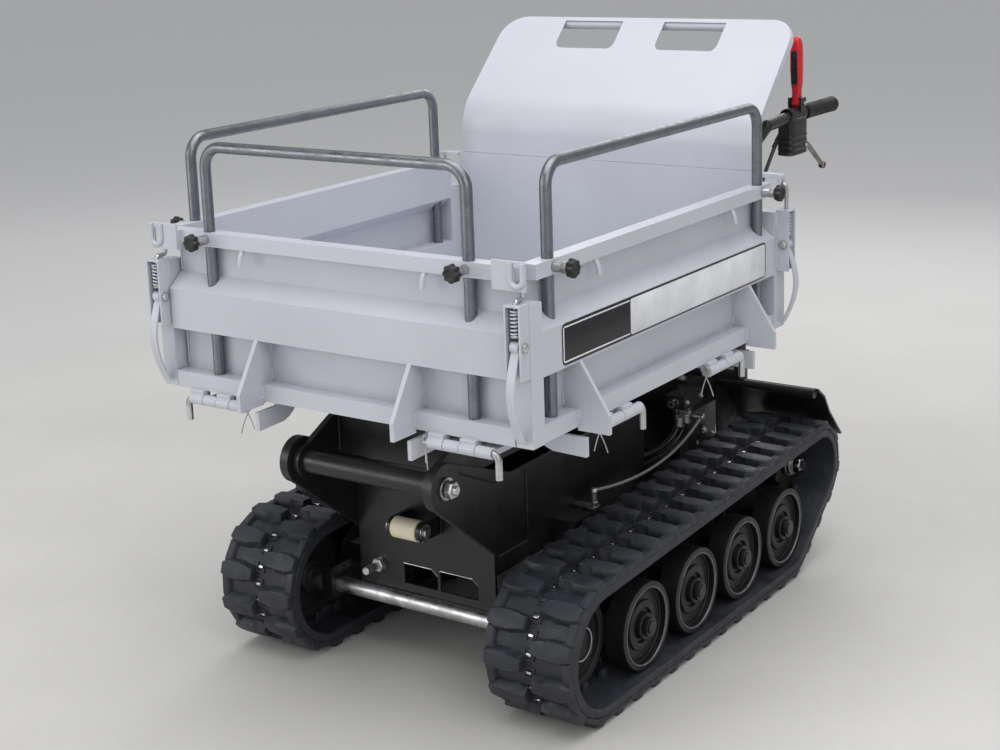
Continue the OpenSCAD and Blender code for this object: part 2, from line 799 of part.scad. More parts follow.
// Black box under the floor, with the ears that turn on the pivot tube
module bed_subframe() {
  half = box_w / 2;
  ear_t = 12;
  ear_x = pivot_len / 2 - 2 - ear_t;
  ear_r = pivot_d / 2 + 9;
  lug_x = 28;
  color(frame_black) place() {
    both_sides() {
      block([half - box_plate, half], [box_y, box_end], [box_z, bed_z]);
      difference() {
        union() {
          bar_x(2 * ear_r, [ear_x, ear_x + ear_t], tip_y, tip_z);
          slab_x([ear_x, ear_x + ear_t]) polygon([
            [tip_y, tip_z - ear_r], [box_y + 1, box_z], [box_y + 1, box_z + 80], [tip_y, tip_z + ear_r]
          ]);
        }
        bar_x(pivot_d + 2 * pin_play, [ear_x - 1, ear_x + ear_t + 1], tip_y, tip_z);
      }
      slab_x([lug_x, lug_x + 10]) polygon([
        [cyl_head[0] - 50, bed_z], [cyl_head[0] - 18, cyl_head[1] - 18], [cyl_head[0] + 18, cyl_head[1] - 18],
        [cyl_head[0] + 50, bed_z]
      ]);
    }
    block([-half, half], [box_y, box_y + box_plate], [box_z, bed_z]);
    block([-half, half], [box_end - box_plate, box_end], [box_z + 60, bed_z]);
    block([-half, half], [box_y, box_end], [bed_z - box_plate, bed_z]);
  }
}

// Outline of the leaning guard, with its round top corners
module guard_outline(lo) {
  rz = guard_r * cos(lean);
  corner = [for (a = [0:15:90]) [guard_top_w / 2 - guard_r + guard_r * cos(a), guard_top - rz + rz * sin(a)]];
  right = concat([[guard_w / 2, lo], [guard_w / 2, arc_z]], corner);
  polygon(concat(right, [for (i = [len(right) - 1:-1:0]) [-right[i][0], right[i][1]]]));
}

// Section of the leaning guard: upright foot, bend and slope
module guard_section(lo) {
  bend = [for (a = [0:lean / 6:lean]) a];
  polygon(concat(
    [[head_y, lo]],
    [for (a = bend) [head_y + bend_r * (1 - cos(a)), bend_lo + bend_r * sin(a)]],
    [[guard_y, guard_top], [guard_y + sheet_t / cos(lean), guard_top]],
    [for (i = [len(bend) - 1:-1:0])
      [head_y + bend_r - (bend_r - sheet_t) * cos(bend[i]), bend_lo + (bend_r - sheet_t) * sin(bend[i])]],
    [[head_y + sheet_t, lo]]
  ));
}

// Lower wall and leaning guard
module headboard_sheet() {
  seam = bed_z + seam_z;
  floor_top = bed_z + floor_tube + sheet_t - head_drop;
  slot_lo = guard_top - slot_drop - slot_h;
  slot_r = 14;
  color(sheet_grey) place() {
    block([-wall_w / 2, wall_w / 2], [head_y, head_y + sheet_t], [floor_top, seam - 0.5]);
    difference() {
      intersection() {
        slab_x([-guard_w / 2 - 1, guard_w / 2 + 1]) guard_section(seam);
        slab_y([head_y - 1, guard_y + 20]) guard_outline(seam);
      }
      both_sides() slab_y([head_y - 1, guard_y + 20]) {
        translate([slot_x[0], slot_lo + slot_r]) square([slot_x[1] - slot_x[0], slot_h - slot_r]);
        translate([slot_x[0] + slot_r, slot_lo]) square([slot_x[1] - slot_x[0] - 2 * slot_r, slot_h]);
        for (x = [slot_x[0] + slot_r, slot_x[1] - slot_r])
          translate([x, slot_lo + slot_r]) circle(r = slot_r);
      }
    }
  }
}

// Tube frame behind the headboard, and the rear latches' keepers
module headboard_frame() {
  r = head_frame_d / 2;
  x = guard_top_w / 2 - r;
  back = head_y + sheet_t + r + 0.2;
  floor_top = bed_z + floor_tube + sheet_t - head_drop;
  bend = bend_r - sheet_t - r - 0.2;
  corner = guard_r - r;
  butt = 0.1;
  knee = [head_y + bend_r - bend * cos(lean), bend_lo + bend * sin(lean)];
  slope = (guard_top - slot_drop - r * cos(lean) - knee[1]) / cos(lean) - corner;
  post_x = half_w + 1;
  slot = [keeper_z + 18, keeper_z + 40];
  arm = [keeper_z + keeper_h - 8, keeper_z + keeper_h];
  keeper_y = [rear_latch_y - 14, rear_latch_y + 14];
  color(sheet_grey) place() {
    both_sides() {
      bar_z(head_frame_d, x, back, [floor_top, bend_lo - butt]);
      translate([x, head_y + bend_r, bend_lo]) rotate([90, 0, -90])
        rotate_extrude(angle = lean) translate([bend, 0]) circle(d = head_frame_d);
      translate([x, knee[0], knee[1]]) rotate([-lean, 0, 0]) {
        translate([0, 0, butt]) cylinder(d = head_frame_d, h = slope - 2 * butt);
        translate([-corner, 0, slope]) rotate([90, 0, 0])
          rotate_extrude(angle = 90) translate([corner, 0]) circle(d = head_frame_d);
      }
      difference() {
        block([post_x, post_x + keeper_t], keeper_y, [keeper_z, keeper_z + keeper_h]);
        block([post_x - 1, post_x + keeper_t + 1], [rear_latch_y - 6, rear_latch_y + 6], slot);
      }
      block([x, post_x + 1], [head_y + sheet_t + 0.2, back + 4], arm);
      block([wall_w / 2 + 1, post_x + 1], [rear_latch_y + 4, back + 4], arm);
    }
    translate([0, knee[0], knee[1]]) rotate([-lean, 0, 0])
      bar_x(head_frame_d, [corner - x + butt, x - corner - butt], 0, slope + corner);
  }
}

// Side plates, front plate, pivot arms, deck and the roller's clevis
module chassis_frame() {
  half = chassis_w / 2;
  inner = half - chassis_plate;
  hub_x = pivot_len / 2;
  clevis_x = roller_len / 2 + 1;
  low = 150;
  front = [chassis_y, chassis_y + chassis_plate];
  color(frame_black) place() {
    both_sides() {
      slab_x([inner, half]) polygon([
        [chassis_y, chassis_z], [plate_end, chassis_z], [plate_end, rear_z], [deck_end, rear_z],
        [deck_end, chassis_top], [notch_end, chassis_top], [notch_end, notch_z], [notch_y, notch_z],
        [notch_y, chassis_top], [chassis_y, chassis_top]
      ]);
      slab_x([half - 1, half - 1 + arm_t]) polygon([
        [tip_y - 28, tip_z - 32], [chassis_y, chassis_z + 42], [chassis_y + 94, chassis_z + 42],
        [chassis_y + 94, chassis_top], [chassis_y + 64, chassis_top], [tip_y + 17, tip_z + 39]
      ]);
      bar_x(hub_d, [hub_x, hub_x + hub_t], tip_y, tip_z);
      bar_x(roller_d - 4, [clevis_x, clevis_x + 8], roller_at[0], roller_at[1]);
      block([clevis_x, clevis_x + 8], [roller_at[0], chassis_y + 1], [roller_at[1] - 18, roller_at[1] + 18]);
      slab_x([34, 44]) polygon([
        [cyl_base[0] - 40, chassis_z + 1], [cyl_base[0] - 20, cyl_base[1] + 18],
        [cyl_base[0] + 20, cyl_base[1] + 18], [cyl_base[0] + 40, chassis_z + 1]
      ]);
    }
    bar_x(roller_pin_d, [-clevis_x - 14, clevis_x + 14], roller_at[0], roller_at[1]);
    bar_x(base_pin_d, [-48, 48], cyl_base[0], cyl_base[1]);
    difference() {
      block([-half, half], front, [low, chassis_top]);
      block([-52, 26], [front[0] - 1, front[1] + 1], [166, 206]);
      block([32, 118], [front[0] - 1, front[1] + 1], [166, 206]);
    }
    block([-inner - 1, inner + 1], [chassis_y, plate_end], [chassis_z, chassis_z + chassis_plate]);
    block([-inner - 1, inner + 1], [deck_y, deck_y + chassis_plate], [rear_z, chassis_top]);
    block([-inner - 1, inner + 1], [plate_end, deck_end - 40], [rear_z, rear_z + chassis_plate]);
    block([-half - 4, half + 4], [deck_y, deck_end], [chassis_top - 1, deck_z]);
  }
}

// Tube the bed tips on, between the two hub discs, and its end bolts
module pivot_tube() {
  half = pivot_len / 2;
  color(frame_black) place() {
    bar_x(pivot_d, [-half, half], tip_y, tip_z);
    both_sides() {
      bar_x(40, [half + hub_t, half + hub_t + 4], tip_y, tip_z);
      translate([half + hub_t + 4, tip_y, tip_z]) rotate([0, 90, 0]) cylinder(d = 28, h = 12, $fn = 6);
    }
  }
}

// Nylon roller on its pin in front of the chassis
module nylon_roller() {
  half = roller_len / 2;
  color([0.8, 0.74, 0.6]) place() difference() {
    bar_x(roller_d, [-half, half], roller_at[0], roller_at[1]);
    bar_x(roller_pin_d + 2 * pin_play, [-half - 1, half + 1], roller_at[0], roller_at[1]);
  }
}

// Beams inside the tracks, with the wheels' axle stubs
module track_frames() {
  half = chassis_w / 2;
  wall = 5;
  fork = 23;
  stub_end = track_x + disc_x + disc_w;
  color(frame_black) place() both_sides() {
    difference() {
      union() {
        block([frame_in, frame_out], frame_y, frame_z);
        block([frame_in + 2, frame_out - 2], [idler_y - fork, frame_y[0] + wall],
              [idler_z - fork, idler_z + fork]);
      }
      block([frame_in + wall, frame_out - wall], [frame_y[0] + 2 * wall, frame_y[1] - wall],
            [frame_z[0] + wall, frame_z[1] - wall]);
      bar_x(axle_d + 2 * pin_play, [frame_in, frame_out], idler_y, idler_z);
    }
    for (i = [0:3]) {
      bar_x(wheel_axle_d, [frame_out - wall, stub_end + 12], wheel_y + i * wheel_pitch, wheel_z);
      bar_x(wheel_axle_d + 11, [stub_end + 2, stub_end + 9], wheel_y + i * wheel_pitch, wheel_z);
    }
    for (y = [430, 780]) block([half, frame_in + 1], [y, y + 60], [frame_z[0] + 50, chassis_z + 50]);
    block([frame_out - 1, frame_out + 52], [wheel_y + 1.5 * wheel_pitch - 4, wheel_y + 1.5 * wheel_pitch + 4],
          [frame_z[0] + 15, frame_z[1] - 8]);
  }
}

// Bright axle of the two idlers, with its end collars
module front_axle() {
  hub = idler_half + 8;
  floor_x = track_x + idler_half + 6 - hub_recess;
  color(zinc) place() {
    bar_x(axle_d, [-floor_x - 5, floor_x + 5], idler_y, idler_z);
    both_sides() {
      bar_x(axle_d + 14, [floor_x + 0.5, floor_x + 4], idler_y, idler_z);
      bar_x(axle_d + 10, [frame_out - 1, track_x - hub], idler_y, idler_z);
    }
  }
}

// The belt's loop at a distance outside its inner face
module belt_loop(o) {
  dip = 0.03;
  for (i = [0:2]) translate([wheels[i][0], wheels[i][1]]) circle(r = wheels[i][2] + o, $fn = 96);
  polygon([
    for (i = [0:2]) each [wheel_point(i, runs[(i + 2) % 3], o - dip), wheel_point(i, runs[i], o - dip)]
  ]);
}

// Block standing on the belt, from a depth to a height
module belt_block(l, x, len, h) {
  p = belt_at(l);
  translate([0, p[0], p[1]]) rotate([p[2] - 90, 0, 0]) block(x, [-len / 2, len / 2], h);
}

// Rubber track with two staggered rows of tread lugs and two rows of guide lugs
module track_body() {
  half = track_w / 2;
  pitch = loop_len / lug_count;
  bite = 3;
  inset = 1;
  start = 6.5;
  color([0.11, 0.11, 0.12]) place() translate([track_x, 0, 0]) {
    difference() {
      slab_x([-half, half]) belt_loop(belt_t);
      slab_x([-half - 1, half + 1]) belt_loop(0);
    }
    for (i = [0:lug_count - 1]) {
      belt_block(start + i * pitch, [inset - half, -lug_gap / 2], lug_len, [-bite, lug_h]);
      belt_block(start + (i + 0.5) * pitch, [lug_gap / 2, half - inset], lug_len, [-bite, lug_h]);
      for (x = [-guide_x, guide_x])
        belt_block(start + (i + 0.25) * pitch, [x - guide_w / 2, x + guide_w / 2], guide_len,
                   [-belt_t - guide_h, -belt_t + bite]);
    }
  }
}
module track_right() {
  track_body();
}
module track_left() {
  mirror([1, 0, 0]) track_body();
}

// Wheel in a track: two rims on a sleeve, with dished outer faces
module track_wheel(r, width, bore, rim) {
  depth = width / 3;
  color([0.1, 0.1, 0.11]) rotate([0, 90, 0]) difference() {
    union() {
      for (z = [-disc_x - width, disc_x])
        translate([0, 0, z]) cylinder(r = r - belt_play, h = width, $fn = 96);
      translate([0, 0, -disc_x - 1]) cylinder(d = bore + 32, h = 2 * disc_x + 2);
    }
    translate([0, 0, -disc_x - width - 1]) cylinder(d = bore + 2 * pin_play, h = 2 * (disc_x + width + 1));
    for (z = [-disc_x - width - 1, disc_x + width - depth]) translate([0, 0, z]) difference() {
      cylinder(r = r - rim, h = depth + 1);
      translate([0, 0, -1]) cylinder(d = bore + 24, h = depth + 3);
    }
  }
}
module road_wheel(i) {
  place() translate([track_x, wheel_y + i * wheel_pitch, wheel_z])
    track_wheel(wheel_r, disc_w, wheel_axle_d, 12);
}

// Idler: a rim in the middle channel of the belt, with dished sides clear of the guide lugs
module idler() {
  rim = guide_x - guide_w / 2 - 2;
  side_r = idler_r - guide_h - 1;
  dish = 12;
  hub = idler_half + 6;
  color([0.1, 0.1, 0.11]) place() translate([track_x, idler_y, idler_z]) difference() {
    union() {
      translate([-rim, 0, 0]) rotate([0, 90, 0]) cylinder(r = idler_r - belt_play, h = 2 * rim, $fn = 96);
      difference() {
        bar_x(2 * side_r, [-idler_half, idler_half], 0, 0);
        for (x = [-idler_half - 1, idler_half - dish]) bar_x(2 * side_r - 28, [x, x + dish + 1], 0, 0);
      }
      bar_x(axle_d + 32, [-hub, hub], 0, 0);
    }
    bar_x(axle_d + 2 * pin_play, [-hub - 1, hub + 1], 0, 0);
    bar_x(axle_d + 22, [hub - hub_recess, hub + 1], 0, 0);
  }
}

// Sprocket on its shaft, with stacked washers and a bolt outside
module sprocket() {
  tooth_d = 18;
  rim = sprocket_r - belt_play - tooth_d / 2;
  color([0.12, 0.12, 0.13]) place() translate([track_x, sprocket_y, sprocket_z]) {
    bar_x(2 * rim, [-9, 9], 0, 0);
    for (i = [0:teeth - 1]) bar_x(tooth_d, [-11, 11], rim * cos(360 * i / teeth), rim * sin(360 * i / teeth));
    bar_x(2 * sprocket_r - 20, [-40, -32], 0, 0);
    bar_x(60, [-40, 14], 0, 0);
    bar_x(drive_shaft_d, [135 - track_x, 10], 0, 0);
    bar_x(56, [13, 18], 0, 0);
    bar_x(44, [18, 20], 0, 0);
    bar_x(50, [20, 25], 0, 0);
    bar_x(38, [25, 30], 0, 0);
    translate([30, 0, 0]) rotate([0, 90, 0]) cylinder(d = 30, h = 11, $fn = 6);
    bar_x(16, [40, 48], 0, 0);
  }
}

// Guards over the rear ends of the tracks: a tube with a bent plate behind it
module rear_guards() {
  half = chassis_w / 2;
  out = track_x + track_w / 2 - 4;
  tube_d = 20;
  over = sprocket_z + sprocket_r + belt_t + lug_h + 66;
  front = sprocket_y - 15;
  color(frame_black) place() both_sides() {
    bar_x(tube_d, [half, out - 8], front, over);
    slab_x([half, out]) polygon([
      [front + 2, over + tube_d / 2 + 1], [front + 34, over - 12], [front + 60, over - 52],
      [front + 122, over - 118], [front + 118, over - 120], [front + 56, over - 55],
      [front + 31, over - 16], [front + 1, over + tube_d / 2 - 4]
    ]);
  }
}

// Gearbox with the bores of the two sprocket shafts
module gearbox() {
  tube_end = 213;
  color(frame_black) place() difference() {
    union() {
      slab_x([-104, 104]) polygon([
        [1036, 165], [1066, 122], [1144, 122], [1178, 165], [1190, 290], [1190, rear_z], [1030, rear_z]
      ]);
      bar_x(66, [-tube_end, tube_end], sprocket_y, sprocket_z);
      both_sides() bar_x(104, [100, 116], sprocket_y, sprocket_z);
    }
    both_sides() bar_x(drive_shaft_d + 2 * pin_play, [133, tube_end + 1], sprocket_y, sprocket_z);
  }
}

// Crankcase and finned cylinder
module engine_block() {
  half = engine_w / 2;
  y = [1030, 1210];
  head = deck_z + engine_h;
  color([0.5, 0.5, 0.5]) place() {
    block([-half + 35, half - 35], y, [deck_z, deck_z + 110]);
    block([-half + 65, half - 65], [y[0] + 30, y[1] - 30], [deck_z + 100, head]);
    for (i = [0:5])
      block([-half + 50, half - 50], [y[0] + 15, y[1] - 15], [deck_z + 118 + 14 * i, deck_z + 123 + 14 * i]);
  }
}

// Fan cowl with the pull starter
module engine_cover() {
  half = engine_w / 2;
  color([0.05, 0.05, 0.055]) place() {
    bar_x(176, [-half - 20, -half + 35], 1120, deck_z + 92);
    bar_x(110, [-half - 38, -half - 10], 1120, deck_z + 92);
    block([-half - 66, -half - 30], [1112, 1128], [deck_z + 86, deck_z + 98]);
  }
}

// Fuel tank, silencer, air cleaner and belt guard
module engine_fittings() {
  half = engine_w / 2;
  head = deck_z + engine_h;
  color([0.08, 0.08, 0.085]) place() {
    block([-half + 15, half - 15], [1050, 1195], [head, head + 78]);
    bar_z(46, 0, 1122, [head + 70, head + 92]);
    block([half - 50, half + 12], [1075, 1165], [deck_z + 124, head - 4]);
    block([half - 35, half - 5], [1042, 1198], [deck_z, deck_z + 118]);
  }
}

// Oil tank with its pump, and the valve block on the chassis plate
module hydraulic_unit() {
  half = chassis_w / 2;
  tank_z = chassis_z + chassis_plate;
  color([0.09, 0.09, 0.095]) place() {
    block([-tank_half, tank_half], [665, 850], [tank_z, tank_z + 150]);
    bar_y(70, -40, [849, 930], tank_z + 80);
    bar_z(44, 60, 760, [tank_z + 149, tank_z + 166]);
    block([half, half + valve_w], valve_y, [port_z + 14, chassis_top - 2]);
    for (y = hose_y) bar_z(22, half + valve_w / 2, y, [port_z, port_z + 15]);
    bar_y(20, half + valve_w / 2, [valve_y[0] - 16, valve_y[0] + 1], chassis_top - 16);
  }
}

function bend_point(p, t) =
  pow(1 - t, 3) * p[0] + 3 * pow(1 - t, 2) * t * p[1] + 3 * (1 - t) * t * t * p[2] + pow(t, 3) * p[3];

// Hose bent from one point to another
module hose(p, r) {
  steps = 16;
  tube([for (i = [0:steps]) bend_point(p, i / steps)], r, 10, unit([0.9, 0.31, 0.29]));
}

// Hoses from the valve block and cables from the handlebar
module hoses_and_cables() {
  half = chassis_w / 2;
  port_x = half + valve_w / 2;
  top = port_z - 4;
  color([0.04, 0.04, 0.045]) place() {
    hose([[port_x, hose_y[0], top], [port_x, hose_y[0], 282], [140, 800, 280], [120, 752, 280]], 7);
    bar_x(24, [tank_half, tank_half + 20], 752, 280);
    hose([[port_x, hose_y[1], top], [port_x, hose_y[1], 282], [140, 850, 256], [120, 716, 256]], 7);
    bar_x(24, [tank_half, tank_half + 20], 716, 256);
    for (y = hose_y) bar_z(20, port_x, y, [port_z - 16, port_z]);
    hose([[grip_x - 19.2, 1100, 905], [grip_x - 40, 1040, 800], [212, 1020, 560], [164, 1012, 440]], 4);
    bar_z(16, half, 1012, [deck_z, deck_z + 36]);
    hose([[19.2 - grip_x, 1100, 905], [40 - grip_x, 1040, 800], [-212, 1020, 560], [-164, 1012, 440]], 4);
    bar_z(16, -half, 1012, [deck_z, deck_z + 36]);
    hose([[half + 44, 509, 309], [half + 44, 620, 285], [half + 44, 800, 265], [half + 44, 935, 335]], 3);
    block([half, half + 52], [499, 519], [270, 278]);
    bar_z(14, half + 44, 509, [277, 313]);
    bar_x(16, [half, half + 52], 938, 337);
  }
}

// Handlebar tube with its crossbar, console and lever brackets
module handlebar() {
  foot = deck_z + 20;
  x = 270;
  bar_z0 = 840;
  knee = [x, upright_y, 868];
  bend = [grip_x, upright_y + 32, grip_z - 7];
  start = [grip_x, grip_y, grip_z];
  color([0.07, 0.07, 0.075]) place() {
    both_sides() {
      strut([x, upright_y, foot], knee, handle_d);
      strut(knee, bend, handle_d);
      strut(bend, start, handle_d);
      bar_y(handle_d, grip_x, [grip_y, grip_end - 5], grip_z);
      block([100, 140], [upright_y - 18, upright_y + 18], [deck_z, foot]);
      for (ear = [-15, 10]) {
        block([grip_x + ear, grip_x + ear + 5], [1093, 1165], [brake_at[2] - 14, grip_z]);
        block([tip_lever_at[0] + ear, tip_lever_at[0] + ear + 5],
              [tip_lever_at[1] - 14, tip_lever_at[1] + 14], [bar_z0 - 10, tip_lever_at[2] + 14]);
      }
      bar_x(lever_bolt_d, [grip_x - 18, grip_x + 18], brake_at[1], brake_at[2]);
      bar_x(lever_bolt_d, [tip_lever_at[0] - 18, tip_lever_at[0] + 18], tip_lever_at[1], tip_lever_at[2]);
    }
    for (ear = [-15, 10])
      block([grip_x + ear, grip_x + ear + 5], [clutch_at[1] - 12, clutch_at[1] + 12],
            [grip_z - 8, clutch_at[2] + 12]);
    bar_x(lever_bolt_d, [grip_x - 18, grip_x + 18], clutch_at[1], clutch_at[2]);
    strut([-x, upright_y, foot], [x, upright_y, foot], handle_d);
    strut([-x, upright_y, bar_z0], [x, upright_y, bar_z0], handle_d);
    block([-150, 150], [upright_y, 1165], [bar_z0 - 10, bar_z0 - 4]);
  }
}

// Two sleeves on the handlebar's ends
module grips() {
  color([0.03, 0.03, 0.03]) place() both_sides() difference() {
    bar_y(grip_d, grip_x, [grip_y, grip_end], grip_z);
    bar_y(handle_d + 2 * pin_play, grip_x, [grip_y - 1, grip_end - 4.8], grip_z);
  }
}

// Red clutch lever on the right-hand grip of the picture
module clutch_lever() {
  y = clutch_at[1];
  z = clutch_at[2];
  color([0.7, 0.05, 0.05]) place() difference() {
    union() {
      bar_x(20, [grip_x - 9, grip_x + 9], y, z);
      slab_x([grip_x - 9, grip_x + 9]) polygon([[y - 9, z], [y - 11, z + 40], [y + 9, z + 40], [y + 9, z]]);
      slab_x([grip_x - 12, grip_x + 12]) polygon([
        [y - 11, z + 26], [y - 14, z + clutch_len - 8], [y - 8, z + clutch_len], [y + 4, z + clutch_len - 4],
        [y + 9, z + 26]
      ]);
    }
    bar_x(lever_bolt_d + 2 * pin_play, [grip_x - 20, grip_x + 20], y, z);
  }
}

// Steel hand lever under a grip that steers one track
module steering_lever() {
  y = brake_at[1];
  z = brake_at[2];
  color([0.45, 0.42, 0.4]) place() difference() {
    union() {
      bar_x(18, [grip_x - 9, grip_x + 9], y, z);
      slab_x([grip_x - 6, grip_x + 6]) polygon([
        [y, z + 8], [y + 34, z + 6], [y + 78, z - 20], [y + 30 + brake_len, z - 56],
        [y + 24 + brake_len, z - 68], [y + 70, z - 32], [y + 30, z - 8], [y, z - 8]
      ]);
    }
    bar_x(lever_bolt_d + 2 * pin_play, [grip_x - 20, grip_x + 20], y, z);
  }
}

// Upright lever with a ball, turning on the console's bolt
module console_lever(x, rise, ball_d) {
  y = tip_lever_at[1];
  z = tip_lever_at[2];
  color([0.05, 0.05, 0.05]) place() {
    difference() {
      union() {
        bar_x(20, [x - 9, x + 9], y, z);
        strut([x, y, z], [x, y + 6, z + rise], 10);
      }
      bar_x(lever_bolt_d + 2 * pin_play, [x - 20, x + 20], y, z);
    }
    translate([x, y + 6, z + rise]) sphere(d = ball_d);
  }
}
module tip_lever() {
  console_lever(tip_lever_at[0], 160, 28);
}
module gear_lever() {
  console_lever(-tip_lever_at[0], 170, 32);
}

// Lines up a cylinder piece: its own x runs from the base pin to the rod pin
module along_cylinder() {
  place() translate([0, cyl_base[0], cyl_base[1]]) rotate([cyl_angle, 0, 0]) rotate([0, 0, 90]) children();
}

// Barrel with its eye on the base pin and the bore of the rod
module cylinder_barrel() {
  head = 24;
  color([0.07, 0.07, 0.075]) along_cylinder() difference() {
    union() {
      bar_y(52, 0, [-32, 32], 0);
      bar_x(barrel_d, [20, barrel_len], 0, 0);
      bar_x(barrel_d + 8, [barrel_len - head, barrel_len], 0, 0);
      bar_z(20, 46, 0, [barrel_d / 2 - 2, barrel_d / 2 + 12]);
    }
    bar_y(base_pin_d + 2 * pin_play, 0, [-60, 60], 0);
    bar_x(piston_rod_d + 2 * pin_play, [29, barrel_len + 1], 0, 0);
  }
}

// Piston rod with its cross head under the bed
module cylinder_rod() {
  color(zinc) along_cylinder() {
    bar_x(piston_rod_d, [32, cyl_len], 0, 0);
    bar_y(44, cyl_len, [-26, 26], 0);
  }
}

chassis_frame();
track_frames();
front_axle();
track_left();
track_right();
rear_guards();
gearbox();
engine_block();
engine_cover();
engine_fittings();
hydraulic_unit();
hoses_and_cables();
handlebar();
grips();
pivot_tube();
nylon_roller();
mirror([1, 0, 0]) idler();  // idler_left
idler();  // idler_right
mirror([1, 0, 0]) sprocket();  // sprocket_left
sprocket();  // sprocket_right
mirror([1, 0, 0]) road_wheel(0);  // road_wheel_left_1
mirror([1, 0, 0]) road_wheel(1);  // road_wheel_left_2
mirror([1, 0, 0]) road_wheel(2);  // road_wheel_left_3
mirror([1, 0, 0]) road_wheel(3);  // road_wheel_left_4
road_wheel(0);  // road_wheel_right_1
road_wheel(1);  // road_wheel_right_2
road_wheel(2);  // road_wheel_right_3
road_wheel(3);  // road_wheel_right_4
clutch_lever();
mirror([1, 0, 0]) steering_lever();  // steering_lever_left
steering_lever();  // steering_lever_right
tip_lever();
gear_lever();
cylinder_barrel();
cylinder_rod();
bed_floor();
bed_subframe();
headboard_sheet();
headboard_frame();
hinge_pins();
front_board();
left_board();
right_board();
front_rail();
left_rail();
right_rail();
place() clamp_knob(-front_leg_x);  // front_knob_left
place() clamp_knob(front_leg_x);  // front_knob_right
mirror([1, 0, 0]) side_knob(0);  // left_knob_front
mirror([1, 0, 0]) side_knob(1);  // left_knob_rear
side_knob(0);  // right_knob_front
side_knob(1);  // right_knob_rear
mirror([1, 0, 0]) at_front_right() latch_lever();  // latch_lever_front_left
at_front_right() latch_lever();  // latch_lever_front_right
mirror([1, 0, 0]) at_rear_right() latch_lever();  // latch_lever_rear_left
at_rear_right() latch_lever();  // latch_lever_rear_right
mirror([1, 0, 0]) at_front_right() latch_hook_front();  // latch_hook_front_left
at_front_right() latch_hook_front();  // latch_hook_front_right
mirror([1, 0, 0]) at_rear_right() latch_hook_rear();  // latch_hook_rear_left
at_rear_right() latch_hook_rear();  // latch_hook_rear_right
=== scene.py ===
"""Looks of a tracked power carrier with a drop-side tipping bed."""

from math import acos, atan2, copysign, cos, hypot, pi, radians, sin, tau

import bmesh
import bpy
from mathutils import Matrix, Vector


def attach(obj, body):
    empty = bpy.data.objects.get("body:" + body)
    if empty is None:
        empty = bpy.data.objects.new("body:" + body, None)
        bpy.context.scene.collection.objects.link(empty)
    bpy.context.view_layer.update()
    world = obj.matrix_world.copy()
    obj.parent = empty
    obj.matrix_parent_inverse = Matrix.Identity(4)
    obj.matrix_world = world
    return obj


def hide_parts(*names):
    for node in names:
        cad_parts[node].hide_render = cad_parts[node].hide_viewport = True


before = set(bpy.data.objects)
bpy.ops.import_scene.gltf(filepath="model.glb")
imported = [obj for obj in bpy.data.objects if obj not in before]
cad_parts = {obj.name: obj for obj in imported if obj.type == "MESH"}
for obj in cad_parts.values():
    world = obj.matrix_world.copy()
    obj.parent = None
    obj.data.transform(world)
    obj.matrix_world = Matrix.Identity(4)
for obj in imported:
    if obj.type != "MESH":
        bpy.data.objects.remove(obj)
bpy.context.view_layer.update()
scene = bpy.context.scene

# Places in millimetres: x from the middle, y back from the front board's face, z up from the ground
ORIGIN_Y = 635.5
HALF = 404  # half width of the bed
TRACK = 309  # middle of a track
IDLER = (230, 135)
SPROCKET = (1105, 208)
WHEEL_Y = 390  # first road wheel
WHEEL_PITCH = 191
WHEEL_Z = 117
WHEEL_R = 83
KNOB_Z = 845.5
LATCH_X = 388.25  # front latches
LATCH_Y = 884.5  # rear latches
LATCH_OUT = 14  # hook rods in front of their posts
HOOK_Z = 752  # collars of the hook rods
HINGE_Z = 551
GRIP_X = 315
GRIP_Z = 952
LEVER_Y = 1150  # pins of the hand levers
CLUTCH_Z = 974
STEER_Z = 888
DECK_LEVER = (1145, 870)  # pins of the tip and gear levers
PIVOT = (83, 438)  # tipping pivot
ROLLER = (188, 299)
PORT_X = 178  # ports of the valve block

SIDE = {"left": -1, "right": 1}
X = Vector((1, 0, 0))
Y = Vector((0, 1, 0))
Z = Vector((0, 0, 1))


def at(x, y, z):
    """A point in the row frame from its place in millimetres."""
    return Vector((x / 1000, (y - ORIGIN_Y) / 1000, z / 1000))


def on_board(board, s, t, z):
    """A point on a board: along it, inward from its pressed band, and height."""
    if board == "front":
        return at(s, t, z)
    return at(SIDE[board] * (HALF - t), s, z)


def outward(board):
    """The way a board faces."""
    return -Y if board == "front" else X * SIDE[board]


def on_latch(which, side, along, out, z):
    """A point at a latch: along the post's face, inward from it, and height."""
    if which == "front":
        return at(side * (LATCH_X + along), 4 + out, z)
    return at(side * (HALF - out), LATCH_Y + along, z)


def srgb(red, green, blue):
    """Linear colour of a screen colour given from 0 to 255."""
    def linear(v):
        v = v / 255
        return v / 12.92 if v <= 0.04045 else ((v + 0.055) / 1.055) ** 2.4

    return (linear(red), linear(green), linear(blue), 1)


def shade(colour, factor):
    return tuple(min(1, c * factor) for c in colour[:3]) + (1,)


def added(name, data):
    """A new object in the scene."""
    made = bpy.data.objects.new(name, data)
    scene.collection.objects.link(made)
    return made


# Camera, from the picture's viewing angle

view = bpy.data.cameras.new("camera")
view.sensor_fit = "HORIZONTAL"
view.lens = 62.885
view.shift_x = 0.0225
view.shift_y = -0.0804
camera = added("camera", view)
camera.location = (1.8675, -2.8045, 1.431)
camera.rotation_euler = (radians(76.8913), radians(2.0743), radians(35.1988))
scene.camera = camera


# Materials

